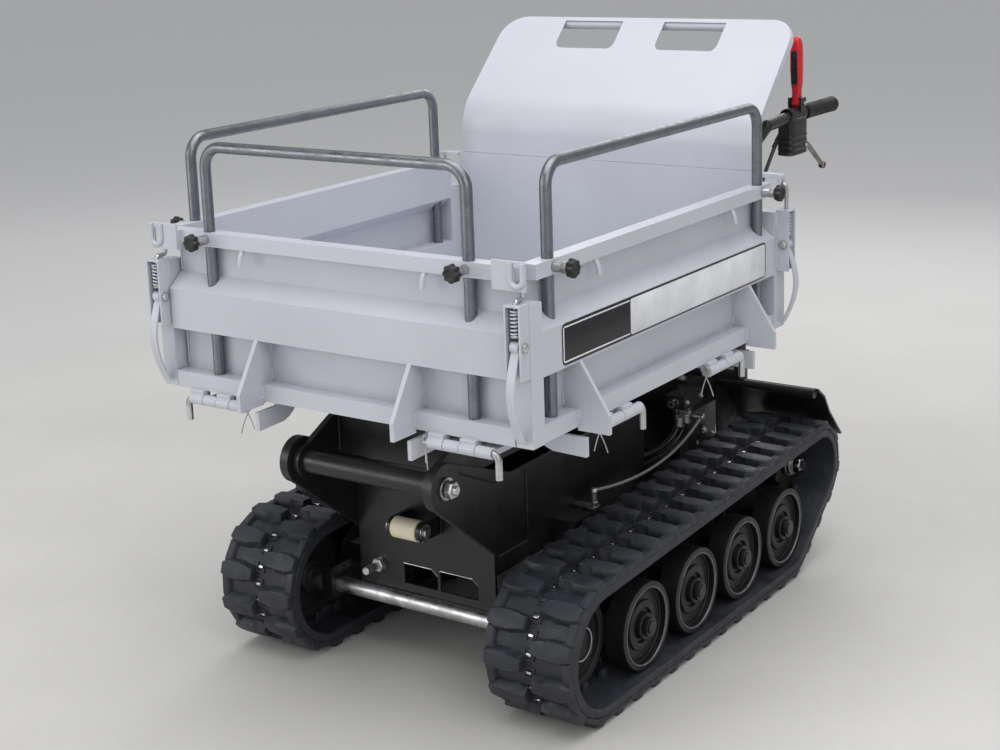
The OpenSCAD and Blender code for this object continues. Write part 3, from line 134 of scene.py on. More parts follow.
class Look:
    """A node material on a Principled shader, with object coordinates in metres."""

    def __init__(self, name):
        self.material = bpy.data.materials.new(name)
        self.material.use_nodes = True
        self.tree = self.material.node_tree
        self.shader = self.tree.nodes["Principled BSDF"]
        self.place = self.add("ShaderNodeTexCoord").outputs["Object"]
        self.normal = self.add("ShaderNodeNewGeometry").outputs["Normal"]

    def give(self, socket, value):
        """A number or colour set on a socket, or another node's output wired to it."""
        if isinstance(value, (int, float, tuple)):
            socket.default_value = value
        else:
            self.tree.links.new(value, socket)

    def add(self, kind, values=()):
        """A node, with values given to its sockets by name."""
        node = self.tree.nodes.new(kind)
        for name, value in dict(values).items():
            self.give(node.inputs[name], value)
        return node

    def noise(self, scale, detail, stretch=None):
        """Cloudy grey level, with its own scale along each axis if wanted."""
        place = self.place
        if stretch:
            place = self.add("ShaderNodeMapping", {"Scale": stretch, "Vector": place}).outputs["Vector"]
        node = self.add("ShaderNodeTexNoise", {"Scale": scale, "Detail": detail, "Vector": place})
        return node.outputs["Fac"]

    def cells(self, scale):
        """Grey level that differs from grain to grain."""
        grains = self.add("ShaderNodeTexVoronoi", {"Scale": scale, "Vector": self.place})
        return self.add("ShaderNodeRGBToBW", {"Color": grains.outputs["Color"]}).outputs["Val"]

    def ramp(self, value, stops):
        """Colours at positions along a value."""
        node = self.add("ShaderNodeValToRGB", {"Fac": value})
        parts = node.color_ramp.elements
        while len(parts) < len(stops):
            parts.new(0.5)
        for part, (place, colour) in zip(parts, stops):
            part.position = place
            part.color = colour
        return node.outputs["Color"]

    def level(self, value, low, high, start=0.0, end=1.0):
        """A value moved from one span to another and held inside it."""
        span = {"Value": value, "From Min": low, "From Max": high, "To Min": start, "To Max": end}
        return self.add("ShaderNodeMapRange", span).outputs["Result"]

    def times(self, a, b):
        node = self.add("ShaderNodeMath")
        node.operation = "MULTIPLY"
        self.give(node.inputs[0], a)
        self.give(node.inputs[1], b)
        return node.outputs["Value"]

    def blend(self, share, a, b):
        node = self.add("ShaderNodeMix")
        node.data_type = "RGBA"
        for name, value in (("Factor", share), ("A", a), ("B", b)):
            self.give([s for s in node.inputs if s.name == name and s.enabled][0], value)
        return [s for s in node.outputs if s.enabled][0]

    def vector(self, operation, *values):
        """A number worked out from vectors."""
        node = self.add("ShaderNodeVectorMath")
        node.operation = operation
        for socket, value in zip(node.inputs, values):
            self.give(socket, value)
        return node.outputs["Value"]

    def upward(self, low, high):
        """How far a face looks up, from 0 to 1."""
        parts = self.add("ShaderNodeSeparateXYZ", {"Vector": self.normal})
        return self.level(parts.outputs["Z"], low, high)

    def edges(self, radius):
        """1 at edges, 0 on flat faces."""
        bevel = self.add("ShaderNodeBevel", {"Radius": radius})
        bevel.samples = 4
        return self.level(self.vector("DOT_PRODUCT", bevel.outputs["Normal"], self.normal), 0.99, 0.85)

    def corners(self, distance):
        """1 in corners and under overlaps, 0 in the open: the mask of painted shade."""
        node = self.add("ShaderNodeAmbientOcclusion", {"Distance": distance})
        node.samples = 4
        return self.level(node.outputs["AO"], 0.75, 0.3)

    def bump(self, height, strength):
        node = self.add("ShaderNodeBump", {"Strength": strength, "Distance": 0.001, "Height": height})
        self.give(self.shader.inputs["Normal"], node.outputs["Normal"])

    def finish(self, colour, rough, low, high):
        """Colour, and roughness from a value's middle span."""
        self.give(self.shader.inputs["Base Color"], colour)
        self.give(self.shader.inputs["Roughness"], self.level(rough, 0.3, 0.7, low, high))


def painted(name, colour, rough, worn_and_highlit, wear_and_highlight=0.5, dust=None, dusty=0.0, corner_shade=0.5, peel=0.06):
    """Sprayed paint: cloudy colour, orange peel, painted shade in corners, edges paler where paint is rubbed
    off and as a painted highlight, and dust on top.
    """
    look = Look(name)
    tone = look.ramp(look.noise(4.5, 6), [
        (0.3, shade(colour, 0.95)),
        (0.5, colour),
        (0.72, shade(colour, 1.04)),
    ])
    streaks = look.level(look.noise(14, 4, (1, 1, 0.12)), 0.58, 0.8, 0, 0.2)
    tone = look.blend(streaks, tone, shade(colour, 0.84))
    # Painted shade: darker in corners and under overlaps, in patches
    corner_shade_mask = look.times(look.corners(0.03), look.level(look.noise(40, 5), 0.35, 0.65, 0.3, 1))
    tone = look.blend(look.times(corner_shade_mask, corner_shade), tone, shade(colour, 0.4))
    # Edges paler: partly paint rubbed off, partly painted highlight
    chips_and_highlights = look.times(look.edges(0.0016), look.level(look.noise(55, 6), 0.42, 0.6))
    tone = look.blend(look.times(chips_and_highlights, wear_and_highlight), tone, worn_and_highlit)
    if dust:
        settled = look.times(look.upward(0.2, 0.95), look.level(look.noise(9, 7), 0.3, 0.75))
        tone = look.blend(look.times(settled, dusty), tone, dust)
    look.finish(tone, look.noise(30, 5), rough - 0.06, rough + 0.1)
    look.bump(look.noise(520, 2), peel)
    return look.material


def metal(name, colour, stain_and_shade, rough, flakes=90):
    """Plated or bare metal: spangle, dull stains, painted shade in corners and fine scratches."""
    look = Look(name)
    tone = look.ramp(look.cells(flakes), [
        (0.0, shade(colour, 0.84)),
        (0.5, colour),
        (1.0, shade(colour, 1.1)),
    ])
    tone = look.blend(look.level(look.noise(26, 6), 0.45, 0.75, 0, 0.8), tone, stain_and_shade)
    # Painted shade: darker in corners and under overlaps
    tone = look.blend(look.times(look.corners(0.012), 0.6), tone, shade(stain_and_shade, 0.3))
    look.finish(tone, look.noise(60, 5), rough - 0.08, rough + 0.16)
    look.shader.inputs["Metallic"].default_value = 1
    look.bump(look.noise(260, 3, (1, 1, 0.2)), 0.08)
    return look.material


def moulded(name, colour, rough, pale, grain, depth, dust):
    """Rubber or plastic: fine grain, scuffed pale edges and dust on top."""
    look = Look(name)
    tone = look.ramp(look.noise(7, 7), [
        (0.3, shade(colour, 0.75)),
        (0.5, colour),
        (0.7, shade(colour, 1.3)),
    ])
    scuffs = look.times(look.edges(0.002), look.level(look.noise(70, 6), 0.4, 0.6))
    tone = look.blend(look.times(scuffs, 0.55), tone, pale)
    settled = look.times(look.upward(0.1, 0.95), look.level(look.noise(16, 8), 0.38, 0.7))
    tone = look.blend(look.times(settled, dust), tone, pale)
    look.finish(tone, look.noise(45, 5), rough - 0.1, rough + 0.12)
    look.bump(look.noise(grain, 4), depth)
    return look.material


BED = srgb(197, 199, 208)
BLACK = srgb(26, 26, 28)
DUST = srgb(128, 122, 112)
# In the painted looks, edges turn paler as paint rubbed off and as painted highlight, and corners turn darker
# as painted shade
M = {
    "bed": painted("bed_paint", BED, 0.36, srgb(226, 228, 234), 0.6, srgb(170, 166, 158), 0.05, 0.45, 0.05),
    "black": painted("black_paint", BLACK, 0.34, srgb(86, 84, 82), 0.5, DUST, 0.13, 0.3),
    "gearbox": painted("gearbox_paint", srgb(34, 34, 36), 0.5, srgb(96, 92, 88), 0.5, DUST, 0.22, 0.4, 0.2),
    "wheel": painted("wheel_paint", srgb(19, 19, 21), 0.46, srgb(74, 74, 76), 0.5, DUST, 0.06, 0.3, 0.1),
    "rail": metal("rail_steel", srgb(134, 136, 141), srgb(120, 122, 127), 0.34, 320),
    # Road wheels' rim rings: paler grey, partly rubbed paint, partly painted highlight
    "worn_and_highlit": painted("rim_worn_and_highlit", srgb(104, 106, 111), 0.26, srgb(170, 172, 176), 0.5, None, 0, 0.5, 0.04),
    "tank": painted("tank_paint", srgb(38, 38, 40), 0.3, srgb(90, 90, 92), 0.4, DUST, 0.12, 0.3, 0.05),
    "zinc": metal("zinc_plate", srgb(206, 207, 208), srgb(150, 148, 142), 0.32),
    "spring": painted("spring_paint", srgb(206, 208, 214), 0.3, srgb(232, 233, 238), 0.4, None, 0, 0.8, 0.04),
    "bright": metal("bright_steel", srgb(222, 223, 226), srgb(176, 176, 178), 0.2, 40),
    "drive": metal("drive_steel", srgb(78, 72, 66), srgb(52, 46, 40), 0.48, 60),
    "lever": metal("lever_steel", srgb(150, 142, 136), srgb(104, 94, 86), 0.34, 70),
    "alloy": metal("cast_alloy", srgb(168, 168, 168), srgb(120, 117, 112), 0.52, 160),
    "track": moulded("track_rubber", srgb(41, 43, 50), 0.54, srgb(96, 98, 106), 240, 0.5, 0.3),
    "plastic": moulded("black_plastic", srgb(24, 24, 25), 0.42, srgb(82, 82, 84), 600, 0.12, 0.1),
    "grip": moulded("grip_rubber", srgb(22, 22, 23), 0.6, srgb(70, 70, 72), 500, 0.25, 0.12),
    "hose": moulded("hose_rubber", srgb(20, 20, 22), 0.2, srgb(80, 80, 82), 700, 0.06, 0.05),
    "sheath": moulded("brake_sheath", srgb(150, 151, 153), 0.3, srgb(196, 197, 199), 700, 0.1, 0.1),
    "cable": moulded("cable_sheath", srgb(60, 60, 62), 0.3, srgb(150, 150, 150), 700, 0.1, 0.12),
    "red": moulded("red_plastic", srgb(196, 26, 36), 0.32, srgb(224, 92, 96), 500, 0.05, 0.05),
    "nylon": moulded("nylon", srgb(214, 204, 178), 0.5, srgb(236, 230, 214), 250, 0.15, 0.2),
    "plate_black": moulded("black_plate", srgb(22, 22, 25), 0.24, srgb(60, 60, 64), 300, 0.03, 0.05),
    "plate_white": moulded("white_plate", srgb(226, 227, 231), 0.26, srgb(238, 239, 242), 300, 0.03, 0.05),
}


# Mesh helpers, with sizes in millimetres

def riding(name, data, look, body):
    """An object with a look, on a body."""
    data.materials.append(M[look])
    made = added(name, data)
    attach(made, body)
    return made


def as_mesh(name, bm):
    """A mesh from a bmesh, which is freed."""
    mesh = bpy.data.meshes.new(name)
    bm.to_mesh(mesh)
    bm.free()
    return mesh


def piece(name, bm, look, body, stands_for=(), angle=35):
    """Turns a bmesh into a piece that rides on a body and may stand for CAD nodes."""
    bmesh.ops.recalc_face_normals(bm, faces=bm.faces[:])
    mesh = as_mesh(name, bm)
    mesh.shade_smooth()
    mesh.set_sharp_from_angle(angle=radians(angle))
    made = riding(name, mesh, look, body)
    if stands_for:
        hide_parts(*stands_for)


def join(bm, part, move=None):
    """Adds a part's faces to a bmesh."""
    mesh = as_mesh("part", part)
    if move:
        mesh.transform(move)
    bm.from_mesh(mesh)
    bpy.data.meshes.remove(mesh)


def axes(direction):
    """Two directions square to a given one."""
    hint = Z if abs(direction.z) < 0.9 else X
    across = direction.cross(hint).normalized()
    return across, direction.cross(across).normalized()


def skin(bm, rings, ends="tips"):
    """Faces from ring to ring, where a ring may be one point and the ends may be flat or joined."""
    for a, b in zip(rings, rings[1:] + rings[:1] if ends == "loop" else rings[1:]):
        count = max(len(a), len(b))
        for k in range(count):
            n = (k + 1) % count
            if len(a) == 1:
                bm.faces.new((a[0], b[k], b[n]))
            elif len(b) == 1:
                bm.faces.new((a[k], a[n], b[0]))
            else:
                bm.faces.new((a[k], a[n], b[n], b[k]))
    if ends == "flat":
        bm.faces.new(rings[0][::-1])
        bm.faces.new(rings[-1])


def turned(bm, base, direction, profile, count, lobes=0, swell=0.0):
    """Turned form from pairs of radius and height: a ring, or a full form if an end is on the axis."""
    across, other = axes(direction)
    ring_form = profile[0][0] > 0 and profile[-1][0] > 0
    if not ring_form and profile[0][0] > 0:
        profile = [(0, profile[0][1])] + profile
    if not ring_form and profile[-1][0] > 0:
        profile = profile + [(0, profile[-1][1])]
    rings = []
    for radius, height in profile:
        foot = base + direction * height / 1000
        ring = []
        for k in range(count if radius else 1):
            a = tau * k / count
            r = radius / 1000 * (1 + swell * cos(lobes * a))
            ring.append(bm.verts.new(foot + r * (cos(a) * across + sin(a) * other)))
        rings.append(ring)
    skin(bm, rings, "loop" if ring_form else "tips")


def swept(bm, path, radius, sides):
    """Round bar along a path of points, with one radius or a list of them."""
    rings = []
    across = None
    for i, point in enumerate(path):
        along = (path[min(i + 1, len(path) - 1)] - path[max(i - 1, 0)]).normalized()
        if across is None:
            across = axes(along)[0]
        across = (across - along * across.dot(along)).normalized()
        other = along.cross(across)
        r = (radius[i] if isinstance(radius, list) else radius) / 1000
        rings.append([
            bm.verts.new(point + r * (cos(a) * across + sin(a) * other))
            for a in (tau * k / sides for k in range(sides))
        ])
    skin(bm, rings, "flat")


def turned_piece(name, look, body, form, stands_for=()):
    """A piece of one turned form."""
    bm = bmesh.new()
    turned(bm, *form)
    piece(name, bm, look, body, stands_for)


def squared_ring(bm, middle, half, front, back, power, count):
    """Level ring of points on a rounded box with its own reach to each side."""
    ring = []
    for k in range(count):
        a = tau * k / count
        c, s = cos(a), sin(a)
        x = copysign(abs(c) ** power, c) * half
        y = copysign(abs(s) ** power, s) * (back if s > 0 else front)
        ring.append(bm.verts.new(middle + Vector((x, y, 0)) / 1000))
    return ring


def prism(low, high, bevel):
    """Part from one outline to another, with rounded edges."""
    part = bmesh.new()
    skin(part, [[part.verts.new(point) for point in outline] for outline in (low, high)], "flat")
    bmesh.ops.bevel(part, geom=part.edges[:], offset=bevel / 1000, segments=2, profile=0.5, affect="EDGES",
                    clamp_overlap=True)
    return part


def plate(bm, corners, thick, bevel):
    """Flat outline of points, thickened along a vector."""
    join(bm, prism(corners, [c + thick / 1000 for c in corners], bevel))


def brick(bm, low, high, bevel):
    """Box between two corner points."""
    outline = ((low.x, low.y), (high.x, low.y), (high.x, high.y), (low.x, high.y))
    plate(bm, [Vector((x, y, low.z)) for x, y in outline], Z * (high.z - low.z) * 1000, bevel)


def tapered(low, high, bottom, top, bevel):
    """Block with one outline at its foot and another at its top."""
    foot = [Vector((x, y, bottom)) / 1000 for x, y in low]
    head = [Vector((x, y, top)) / 1000 for x, y in high]
    return prism(foot, head, bevel)


def oblong(half_x, half_y, x=0, y=0):
    return [(x + a * half_x, y + b * half_y) for a, b in ((-1, -1), (1, -1), (1, 1), (-1, 1))]


def rounded_box(width, height, radius, steps=5):
    """Outline of a box with round corners."""
    outline = []
    for k, (x, y) in enumerate(((1, 1), (-1, 1), (-1, -1), (1, -1))):
        for i in range(steps + 1):
            a = pi / 2 * (k + i / steps)
            outline.append((x * (width / 2 - radius) + radius * cos(a),
                            y * (height / 2 - radius) + radius * sin(a)))
    return outline


def bead(bm, start, end, radius=2.4):
    """Rippled weld bead along a straight line."""
    steps = max(4, int((end - start).length / 0.0028))
    path = [start.lerp(end, i / steps) for i in range(steps + 1)]
    sizes = [radius * (0.86 + 0.2 * sin(i * 1.9) + 0.1 * sin(i * 0.7)) for i in range(steps + 1)]
    swept(bm, path, sizes, 7)


def bolt(bm, base, direction, size=8, washer=True):
    """Hexagon bolt head on a washer, size being the thread."""
    wide = size * 0.95
    if washer:
        turned(bm, base, direction, [(0, 0), (size * 1.3, 0), (size * 1.3, size * 0.2)], 32)
    foot = base + direction * size * 0.2 / 1000
    turned(bm, foot, direction, [(0, 0), (wide, 0), (wide, size * 0.55), (wide * 0.88, size * 0.68)], 6)
    turned(bm, foot + direction * size * 0.67 / 1000, direction, [
        (0, 0), (size * 0.5, 0), (size * 0.5, size * 0.22), (size * 0.4, size * 0.34),
    ], 24)


def bend(p, t):
    """Point on a cubic curve with four control points."""
    q = 1 - t
    return q ** 3 * p[0] + 3 * q * q * t * p[1] + 3 * q * t * t * p[2] + t ** 3 * p[3]


def rounded(points, steps=5):
    """A smooth path through points."""
    path = []
    for i in range(len(points) - 1):
        a = points[max(i - 1, 0)]
        b, c = points[i], points[i + 1]
        d = points[min(i + 2, len(points) - 1)]
        for k in range(steps):
            t = k / steps
            path.append(0.5 * (2 * b + (c - a) * t + (2 * a - 5 * b + 4 * c - d) * t * t
                               + (3 * b - a - 3 * c + d) * t ** 3))
    return path + [points[-1]]


# Hoses and cables, on the routes of the solids

def cord(name, controls, radius, look):
    """Hose or cable along a bent route, fixed at both ends."""
    route = [at(*p) for p in controls]
    points = [bend(route, i / 24) for i in range(25)]
    curve = bpy.data.curves.new(name, "CURVE")
    curve.dimensions = "3D"
    curve.bevel_depth = radius / 1000
    curve.bevel_resolution = 6
    curve.resolution_u = 4
    curve.use_fill_caps = True
    spline = curve.splines.new("BEZIER")
    spline.bezier_points.add(len(points) - 1)
    for knot, point in zip(spline.bezier_points, points):
        knot.co = point
        knot.handle_left_type = "AUTO"
        knot.handle_right_type = "AUTO"
    made = riding(name, curve, look, "chassis")


HOSES = {
    "hose_lift": [(PORT_X, 882, 352), (PORT_X, 882, 282), (140, 800, 280), (120, 752, 280)],
    "hose_return": [(PORT_X, 912, 352), (PORT_X, 912, 282), (140, 850, 256), (120, 716, 256)],
}
CABLE = [(295.8, 1100, 905), (275, 1040, 800), (212, 1020, 560), (164, 1012, 440)]
for name, controls in HOSES.items():
    cord(name, controls, 7, "hose")
for word, side in reversed(SIDE.items()):
    cord(f"cable_{word}", [(side * x, y, z) for x, y, z in CABLE], 4, "cable")
cord("cable_brake", [(200, 509, 309), (200, 620, 285), (200, 800, 265), (200, 935, 335)], 3, "sheath")


def hose_end(bm, foot, inside):
    """Hexagon nut and crimped sleeve on a hose, from its end to a point inside."""
    along = (inside - foot).normalized()
    turned(bm, foot, along, [(0, -9), (11.4, -9), (11.4, 2), (10.4, 4)], 6)
    crimps = [(9.2, 7), (8.4, 10), (9.2, 13), (8.4, 16), (9.2, 19)]
    turned(bm, foot, along, [(0, 4), (8.8, 4)] + crimps + [(8.6, 23), (7.2, 24)], 28)


bm = bmesh.new()
for controls in HOSES.values():
    route = [at(*p) for p in controls]
    hose_end(bm, bend(route, 0), bend(route, 0.02))
    hose_end(bm, bend(route, 1), bend(route, 0.98))
    _, y, z = controls[-1]
    turned(bm, at(110, y, z), X, [(0, 0), (12, 0), (12, 19), (11, 20)], 36)
    bolt(bm, at(130, y, z), X, 8, False)
post = [(7, 0), (7, 8), (5.4, 10), (5.4, 26), (7, 28), (7, 34), (5.6, 36)]
turned(bm, at(200, 509, 277), Z, [(0, 0)] + post, 24)
turned(bm, at(156, 938, 337), X, [(0, 0), (8, 0), (8, 50.6), (6.6, 52)], 28)
brick(bm, at(156, 499, 270), at(208, 519, 278), 1)
gland = [(8, 0), (8, 22), (6.6, 24), (6.6, 28), (8, 30), (8, 35), (6, 36)]
for side in (1, -1):
    turned(bm, at(side * 156, 1012, 406), Z, [(0, 0)] + gland, 24)
piece("hose_fittings", bm, "zinc", "chassis", ["hoses_and_cables"])


# Tracks

# The belt's bends: idler, last road wheel and sprocket, each with its radius
BENDS = [(*IDLER, 101), (WHEEL_Y + 3 * WHEEL_PITCH, WHEEL_Z, WHEEL_R), (*SPROCKET, 66)]
BELT = 18
LUGS = 37
FIRST_LUG = 6.5
BELT_STEPS = 280
# Half of the belt's section, from its middle to its edge and under it
SECTION = [(20, -1.5), (24, 0), (84, 0), (88, -3), (90, -15), (88, -18)]
SECTION = [(-x, h) for x, h in SECTION[4::-1]] + SECTION + [(-88, -18)]
# Half outlines of tread blocks and edge ribs, at foot and top
LUG_FOOT = [(8, 16), (30, 16), (40, 21), (72, 21), (89, 14)]
LUG_HEAD = [(10, 12), (31, 12), (41, 16.5), (70, 16.5), (86, 11)]
RIB_FOOT = [(66, 17), (88.6, 22)]
RIB_HEAD = [(72, 17), (86.6, 20)]


def run_angle(a, b):
    """Outward angle of the run from one bend to the next."""
    away = (b[0] - a[0], b[1] - a[1])
    return atan2(away[1], away[0]) - acos((a[2] - b[2]) / hypot(*away))


def rim_point(i, angle, out):
    y, z, r = BENDS[i]
    return Vector((y + (r + out) * cos(angle), z + (r + out) * sin(angle)))


RUNS = [run_angle(BENDS[i], BENDS[(i + 1) % 3]) for i in range(3)]
TURNS = [(RUNS[i] - RUNS[i - 1]) % tau for i in range(3)]
RUN_LENGTHS = [(rim_point((i + 1) % 3, RUNS[i], 0) - rim_point(i, RUNS[i], 0)).length for i in range(3)]
ARC_LENGTHS = [TURNS[i] * (BENDS[i][2] + BELT) for i in range(3)]
LOOP = sum(RUN_LENGTHS) + sum(ARC_LENGTHS)
PITCH = LOOP / LUGS


def belt_at(length):
    """Place on the belt's outer face and the outward angle there."""
    i = 0
    length %= LOOP
    while True:
        k = (i + 1) % 3
        if length < RUN_LENGTHS[i]:
            start, end = rim_point(i, RUNS[i], BELT), rim_point(k, RUNS[i], BELT)
            return start.lerp(end, length / RUN_LENGTHS[i]), RUNS[i]
        length -= RUN_LENGTHS[i]
        if length < ARC_LENGTHS[k]:
            angle = RUNS[i] + length / (BENDS[k][2] + BELT)
            return rim_point(k, angle, BELT), angle
        length -= ARC_LENGTHS[k]
        i = k


def belt_frame(length, side):
    """Frame on the belt: across, along and outward."""
    place, angle = belt_at(length)
    along = Vector((0, -sin(angle), cos(angle)))
    up = Vector((0, cos(angle), sin(angle)))
    move = Matrix((X * side, along, up)).transposed().to_4x4()
    move.translation = at(side * TRACK, place.x, place.y)
    return move


def lug_frame(number, side):
    return belt_frame(FIRST_LUG + number * PITCH, side)


def mirrored_block(foot, head, edge, top, bevel):
    """Block on the belt from half outlines, towards one of its edges."""
    def whole(half):
        return [(edge * x, -y) for x, y in half] + [(edge * x, y) for x, y in half[::-1]]

    return tapered(whole(foot), whole(head), -1.5, top, bevel)


for word, side in reversed(SIDE.items()):
    bm = bmesh.new()
    rings = []
    for i in range(BELT_STEPS):
        move = belt_frame(LOOP * i / BELT_STEPS, side)
        rings.append([bm.verts.new(move @ Vector((x / 1000, 0, h / 1000))) for x, h in SECTION])
    skin(bm, rings, "loop")
    steel = bmesh.new()
    for i in range(LUGS):
        for edge, number in ((-1, i), (1, i + 0.5)):
            join(bm, mirrored_block(LUG_FOOT, LUG_HEAD, edge, 16, 2.2), lug_frame(number, side))
            join(bm, mirrored_block(RIB_FOOT, RIB_HEAD, -edge, 8, 1.4), lug_frame(number, side))
        middle = lug_frame(i + 0.25, side)
        for x in (-21, 21):
            join(bm, tapered(oblong(6, 12, x), oblong(3.6, 7, x), -17, -35.5, 1.5), middle)
        for there in (middle, lug_frame(i + 0.75, side)):
            for x, y, wide, long in ((-9, 0, 1.6, 11), (9, 0, 1.6, 11), (0, -9.6, 8, 1.6), (0, 9.6, 8, 1.6)):
                head = oblong(wide * 0.8, long * 0.92, x, y)
                join(bm, tapered(oblong(wide, long, x, y), head, -3, 1.6, 0.5), there)
            join(steel, tapered(oblong(6, 3.4), oblong(5, 2.4), -2.5, 2.4, 0.5), there)
    piece(f"track_{word}_rubber", bm, "track", "chassis", [f"track_{word}"], 30)
    piece(f"track_{word}_cores", steel, "bright", "chassis")


# CAD solids: materials, rounded edges and corners joined for shading

def joined_corners():
    """Node group that joins the solids' split vertices and shades them by angle."""
    group = bpy.data.node_groups.new("joined_corners", "GeometryNodeTree")
    for way in ("INPUT", "OUTPUT"):
        group.interface.new_socket("Geometry", in_out=way, socket_type="NodeSocketGeometry")
    new = group.nodes.new
    start = new("NodeGroupInput")
    end = new("NodeGroupOutput")
    merge = new("GeometryNodeMergeByDistance")
    merge.inputs["Distance"].default_value = 0.000005
    angle = new("GeometryNodeInputMeshEdgeAngle")
    sharp = new("FunctionNodeCompare")
    sharp.operation = "GREATER_THAN"
    sharp.inputs["B"].default_value = radians(28)
    smooth = new("GeometryNodeSetShadeSmooth")
    normal = new("GeometryNodeSetMeshNormal")
    normal.mode = "SHARPNESS"
    normal.inputs["Remove Custom"].default_value = True
    link = group.links.new
    link(start.outputs[0], merge.inputs["Geometry"])
    link(merge.outputs[0], smooth.inputs["Geometry"])
    link(smooth.outputs[0], normal.inputs["Mesh"])
    link(angle.outputs["Unsigned Angle"], sharp.inputs["A"])
    link(sharp.outputs[0], normal.inputs["Edge Sharpness"])
    link(normal.outputs[0], end.inputs[0])
    return group


CORNERS = joined_corners()


def dress(node, look, rounding):
    """A material and rounded edges for a CAD node."""
    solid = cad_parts[node]
    solid.data.materials.clear()
    solid.data.materials.append(M[look])
    corners = solid.modifiers.new("corners", "NODES")
    corners.node_group = CORNERS
    if rounding:
        bevel = solid.modifiers.new("rounding", "BEVEL")
        bevel.width = rounding / 1000
        bevel.segments = 2
        bevel.angle_limit = radians(35)
        bevel.miter_outer = "MITER_ARC"
        even = solid.modifiers.new("even", "WEIGHTED_NORMAL")
        even.keep_sharp = True
        even.weight = 60


DRESSED = {
    "bed": [("bed_floor", 1), ("headboard_sheet", 0.8), ("headboard_frame", 0), ("front_board", 0.9),
            ("left_board", 0.9), ("right_board", 0.9)],
    "black": [("chassis_frame", 1), ("track_frames", 1), ("rear_guards", 1), ("bed_subframe", 1),
              ("handlebar", 0.6), ("pivot_tube", 0.8), ("cylinder_barrel", 0.8)],
    "gearbox": [("gearbox", 2.5), ("idler_left", 1), ("idler_right", 1)],
    "alloy": [("engine_block", 1)],
    "plastic": [("engine_cover", 2), ("tip_lever", 0), ("gear_lever", 0)],
    "tank": [("engine_fittings", 3), ("hydraulic_unit", 2)],
    "zinc": [("front_axle", 0.8)],
    "bright": [("cylinder_rod", 0.8)],
    "nylon": [("nylon_roller", 1.5)],
    "wheel": [(f"road_wheel_{word}_{i}", 1.5) for word in SIDE for i in (1, 2, 3, 4)],
    "drive": [("sprocket_left", 1), ("sprocket_right", 1)],
    "rail": [("front_rail", 0), ("left_rail", 0), ("right_rail", 0)],
}
for look, solids in DRESSED.items():
    for node, rounding in solids:
        dress(node, look, rounding)


# Drop boards: welds, rope hooks, latch bolts, nuts and the blank side plate

FRONT_BOARD = {
    "gussets": (-168, 168), "legs": (-281, 281), "ends": (-370, 370),
    "hinges": (-331, 204), "hooks": (-198, 198),
}
SIDE_BOARD = {
    "gussets": (148, 753), "legs": (90, 827), "ends": (38, 862),
    "hinges": (205, 580), "hooks": (219, 704),
}
BOARDS = {"front": FRONT_BOARD, "right": SIDE_BOARD, "left": SIDE_BOARD}
SHEET_T = 32  # the sheet behind the band
LATCH_BOLT_Z = 736

for board, parts in BOARDS.items():
    body = f"{board}_board"
    bm = bmesh.new()
    for g in parts["gussets"]:
        for s in (g - 4.6, g + 4.6):
            for (t, z), (u, w) in (((SHEET_T, 600), (SHEET_T, 622)), ((SHEET_T, 652), (SHEET_T, 675)),
                                   ((30, 676), (4, 676)), ((2.5, 595), (2.5, 572))):
                bead(bm, on_board(board, s, t, z), on_board(board, s, u, w))
    for h in parts["hinges"]:
        for start in (h, h + 64):
            bead(bm, on_board(board, start + 1, -5, 566), on_board(board, start + 30, -5, 566), 2)
    for s in (parts["ends"][0] + 3, parts["ends"][1] - 3):
        for low, high in ((604, 672), (780, 830)):
            bead(bm, on_board(board, s, SHEET_T, low), on_board(board, s, SHEET_T, high), 2)
    latches = []
    if board in SIDE:
        latches = [(which, SIDE[board], edge) for which in ("front", "rear") for edge in (-15, 15)]
    for which, side, edge in latches:
        for low, high in ((690, 716), (770, 798)):
            bead(bm, on_latch(which, side, edge, 0.5, low), on_latch(which, side, edge, 0.5, high), 2)
    for s in parts["hooks"]:
        path = [on_board(board, s, t, z) for t, z in ((16, 834), (13.5, 832), (6.5, 822), (3.6, 806))]
        swept(bm, rounded(path, 4), 4.6, 12)
    piece(f"{board}_board_welds", bm, "bed", body)

    bm = bmesh.new()
    for leg in parts["legs"]:
        nut = [(8.4, 0), (8.6, 0.5), (8.6, 9.4), (8, 10), (5, 10)]
        turned(bm, on_board(board, leg, 8, KNOB_Z), outward(board), nut, 32)
    for which, side, edge in latches:
        foot = on_latch(which, side, edge, -LATCH_OUT, LATCH_BOLT_Z)
        along = (foot - on_latch(which, side, 0, -LATCH_OUT, LATCH_BOLT_Z)).normalized()
        turned(bm, foot, along, [(0, 0), (9, 0), (9, 1.5), (7.6, 1.6), (7.2, 3.6), (5, 5.2), (0, 5.8)], 28)
    piece(f"{board}_board_nuts", bm, "zinc", body)

PLATE_Z = 715.5


def side_sheet(bm, outline, s, t, thick):
    """Thin sheet on the right board, from an outline round a middle."""
    plate(bm, [on_board("right", s + a, t, PLATE_Z + b) for a, b in outline], X * thick, 0.2)


bm = bmesh.new()
side_sheet(bm, rounded_box(726, 69, 9), 458, 0, 0.9)
piece("side_plate_border", bm, "plate_black", "right_board")
bm = bmesh.new()
side_sheet(bm, rounded_box(508, 62, 5), 563, -0.6, 0.8)
for line in ((103, 1.25, 0, 28.75), (103, 1.25, 0, -28.75), (1.25, 28, -104.25)):
    side_sheet(bm, oblong(*line), 203, -0.6, 0.7)
piece("side_plate_field", bm, "plate_white", "right_board")


# Raised loops round the front keepers' slots

LOOP_LINE = [(-11.5, 868), (-11.5, 852), (-11.5, 842), (-8.5, 834.5), (0, 831)]
LOOP_LINE += [(-x, z) for x, z in LOOP_LINE[-2::-1]]
bm = bmesh.new()
for side in (1, -1):
    swept(bm, rounded([at(side * (LATCH_X + x), -5.5, z) for x, z in LOOP_LINE]), 4.4, 12)
piece("keeper_loops", bm, "bed", "front_board")


# Clamp knobs

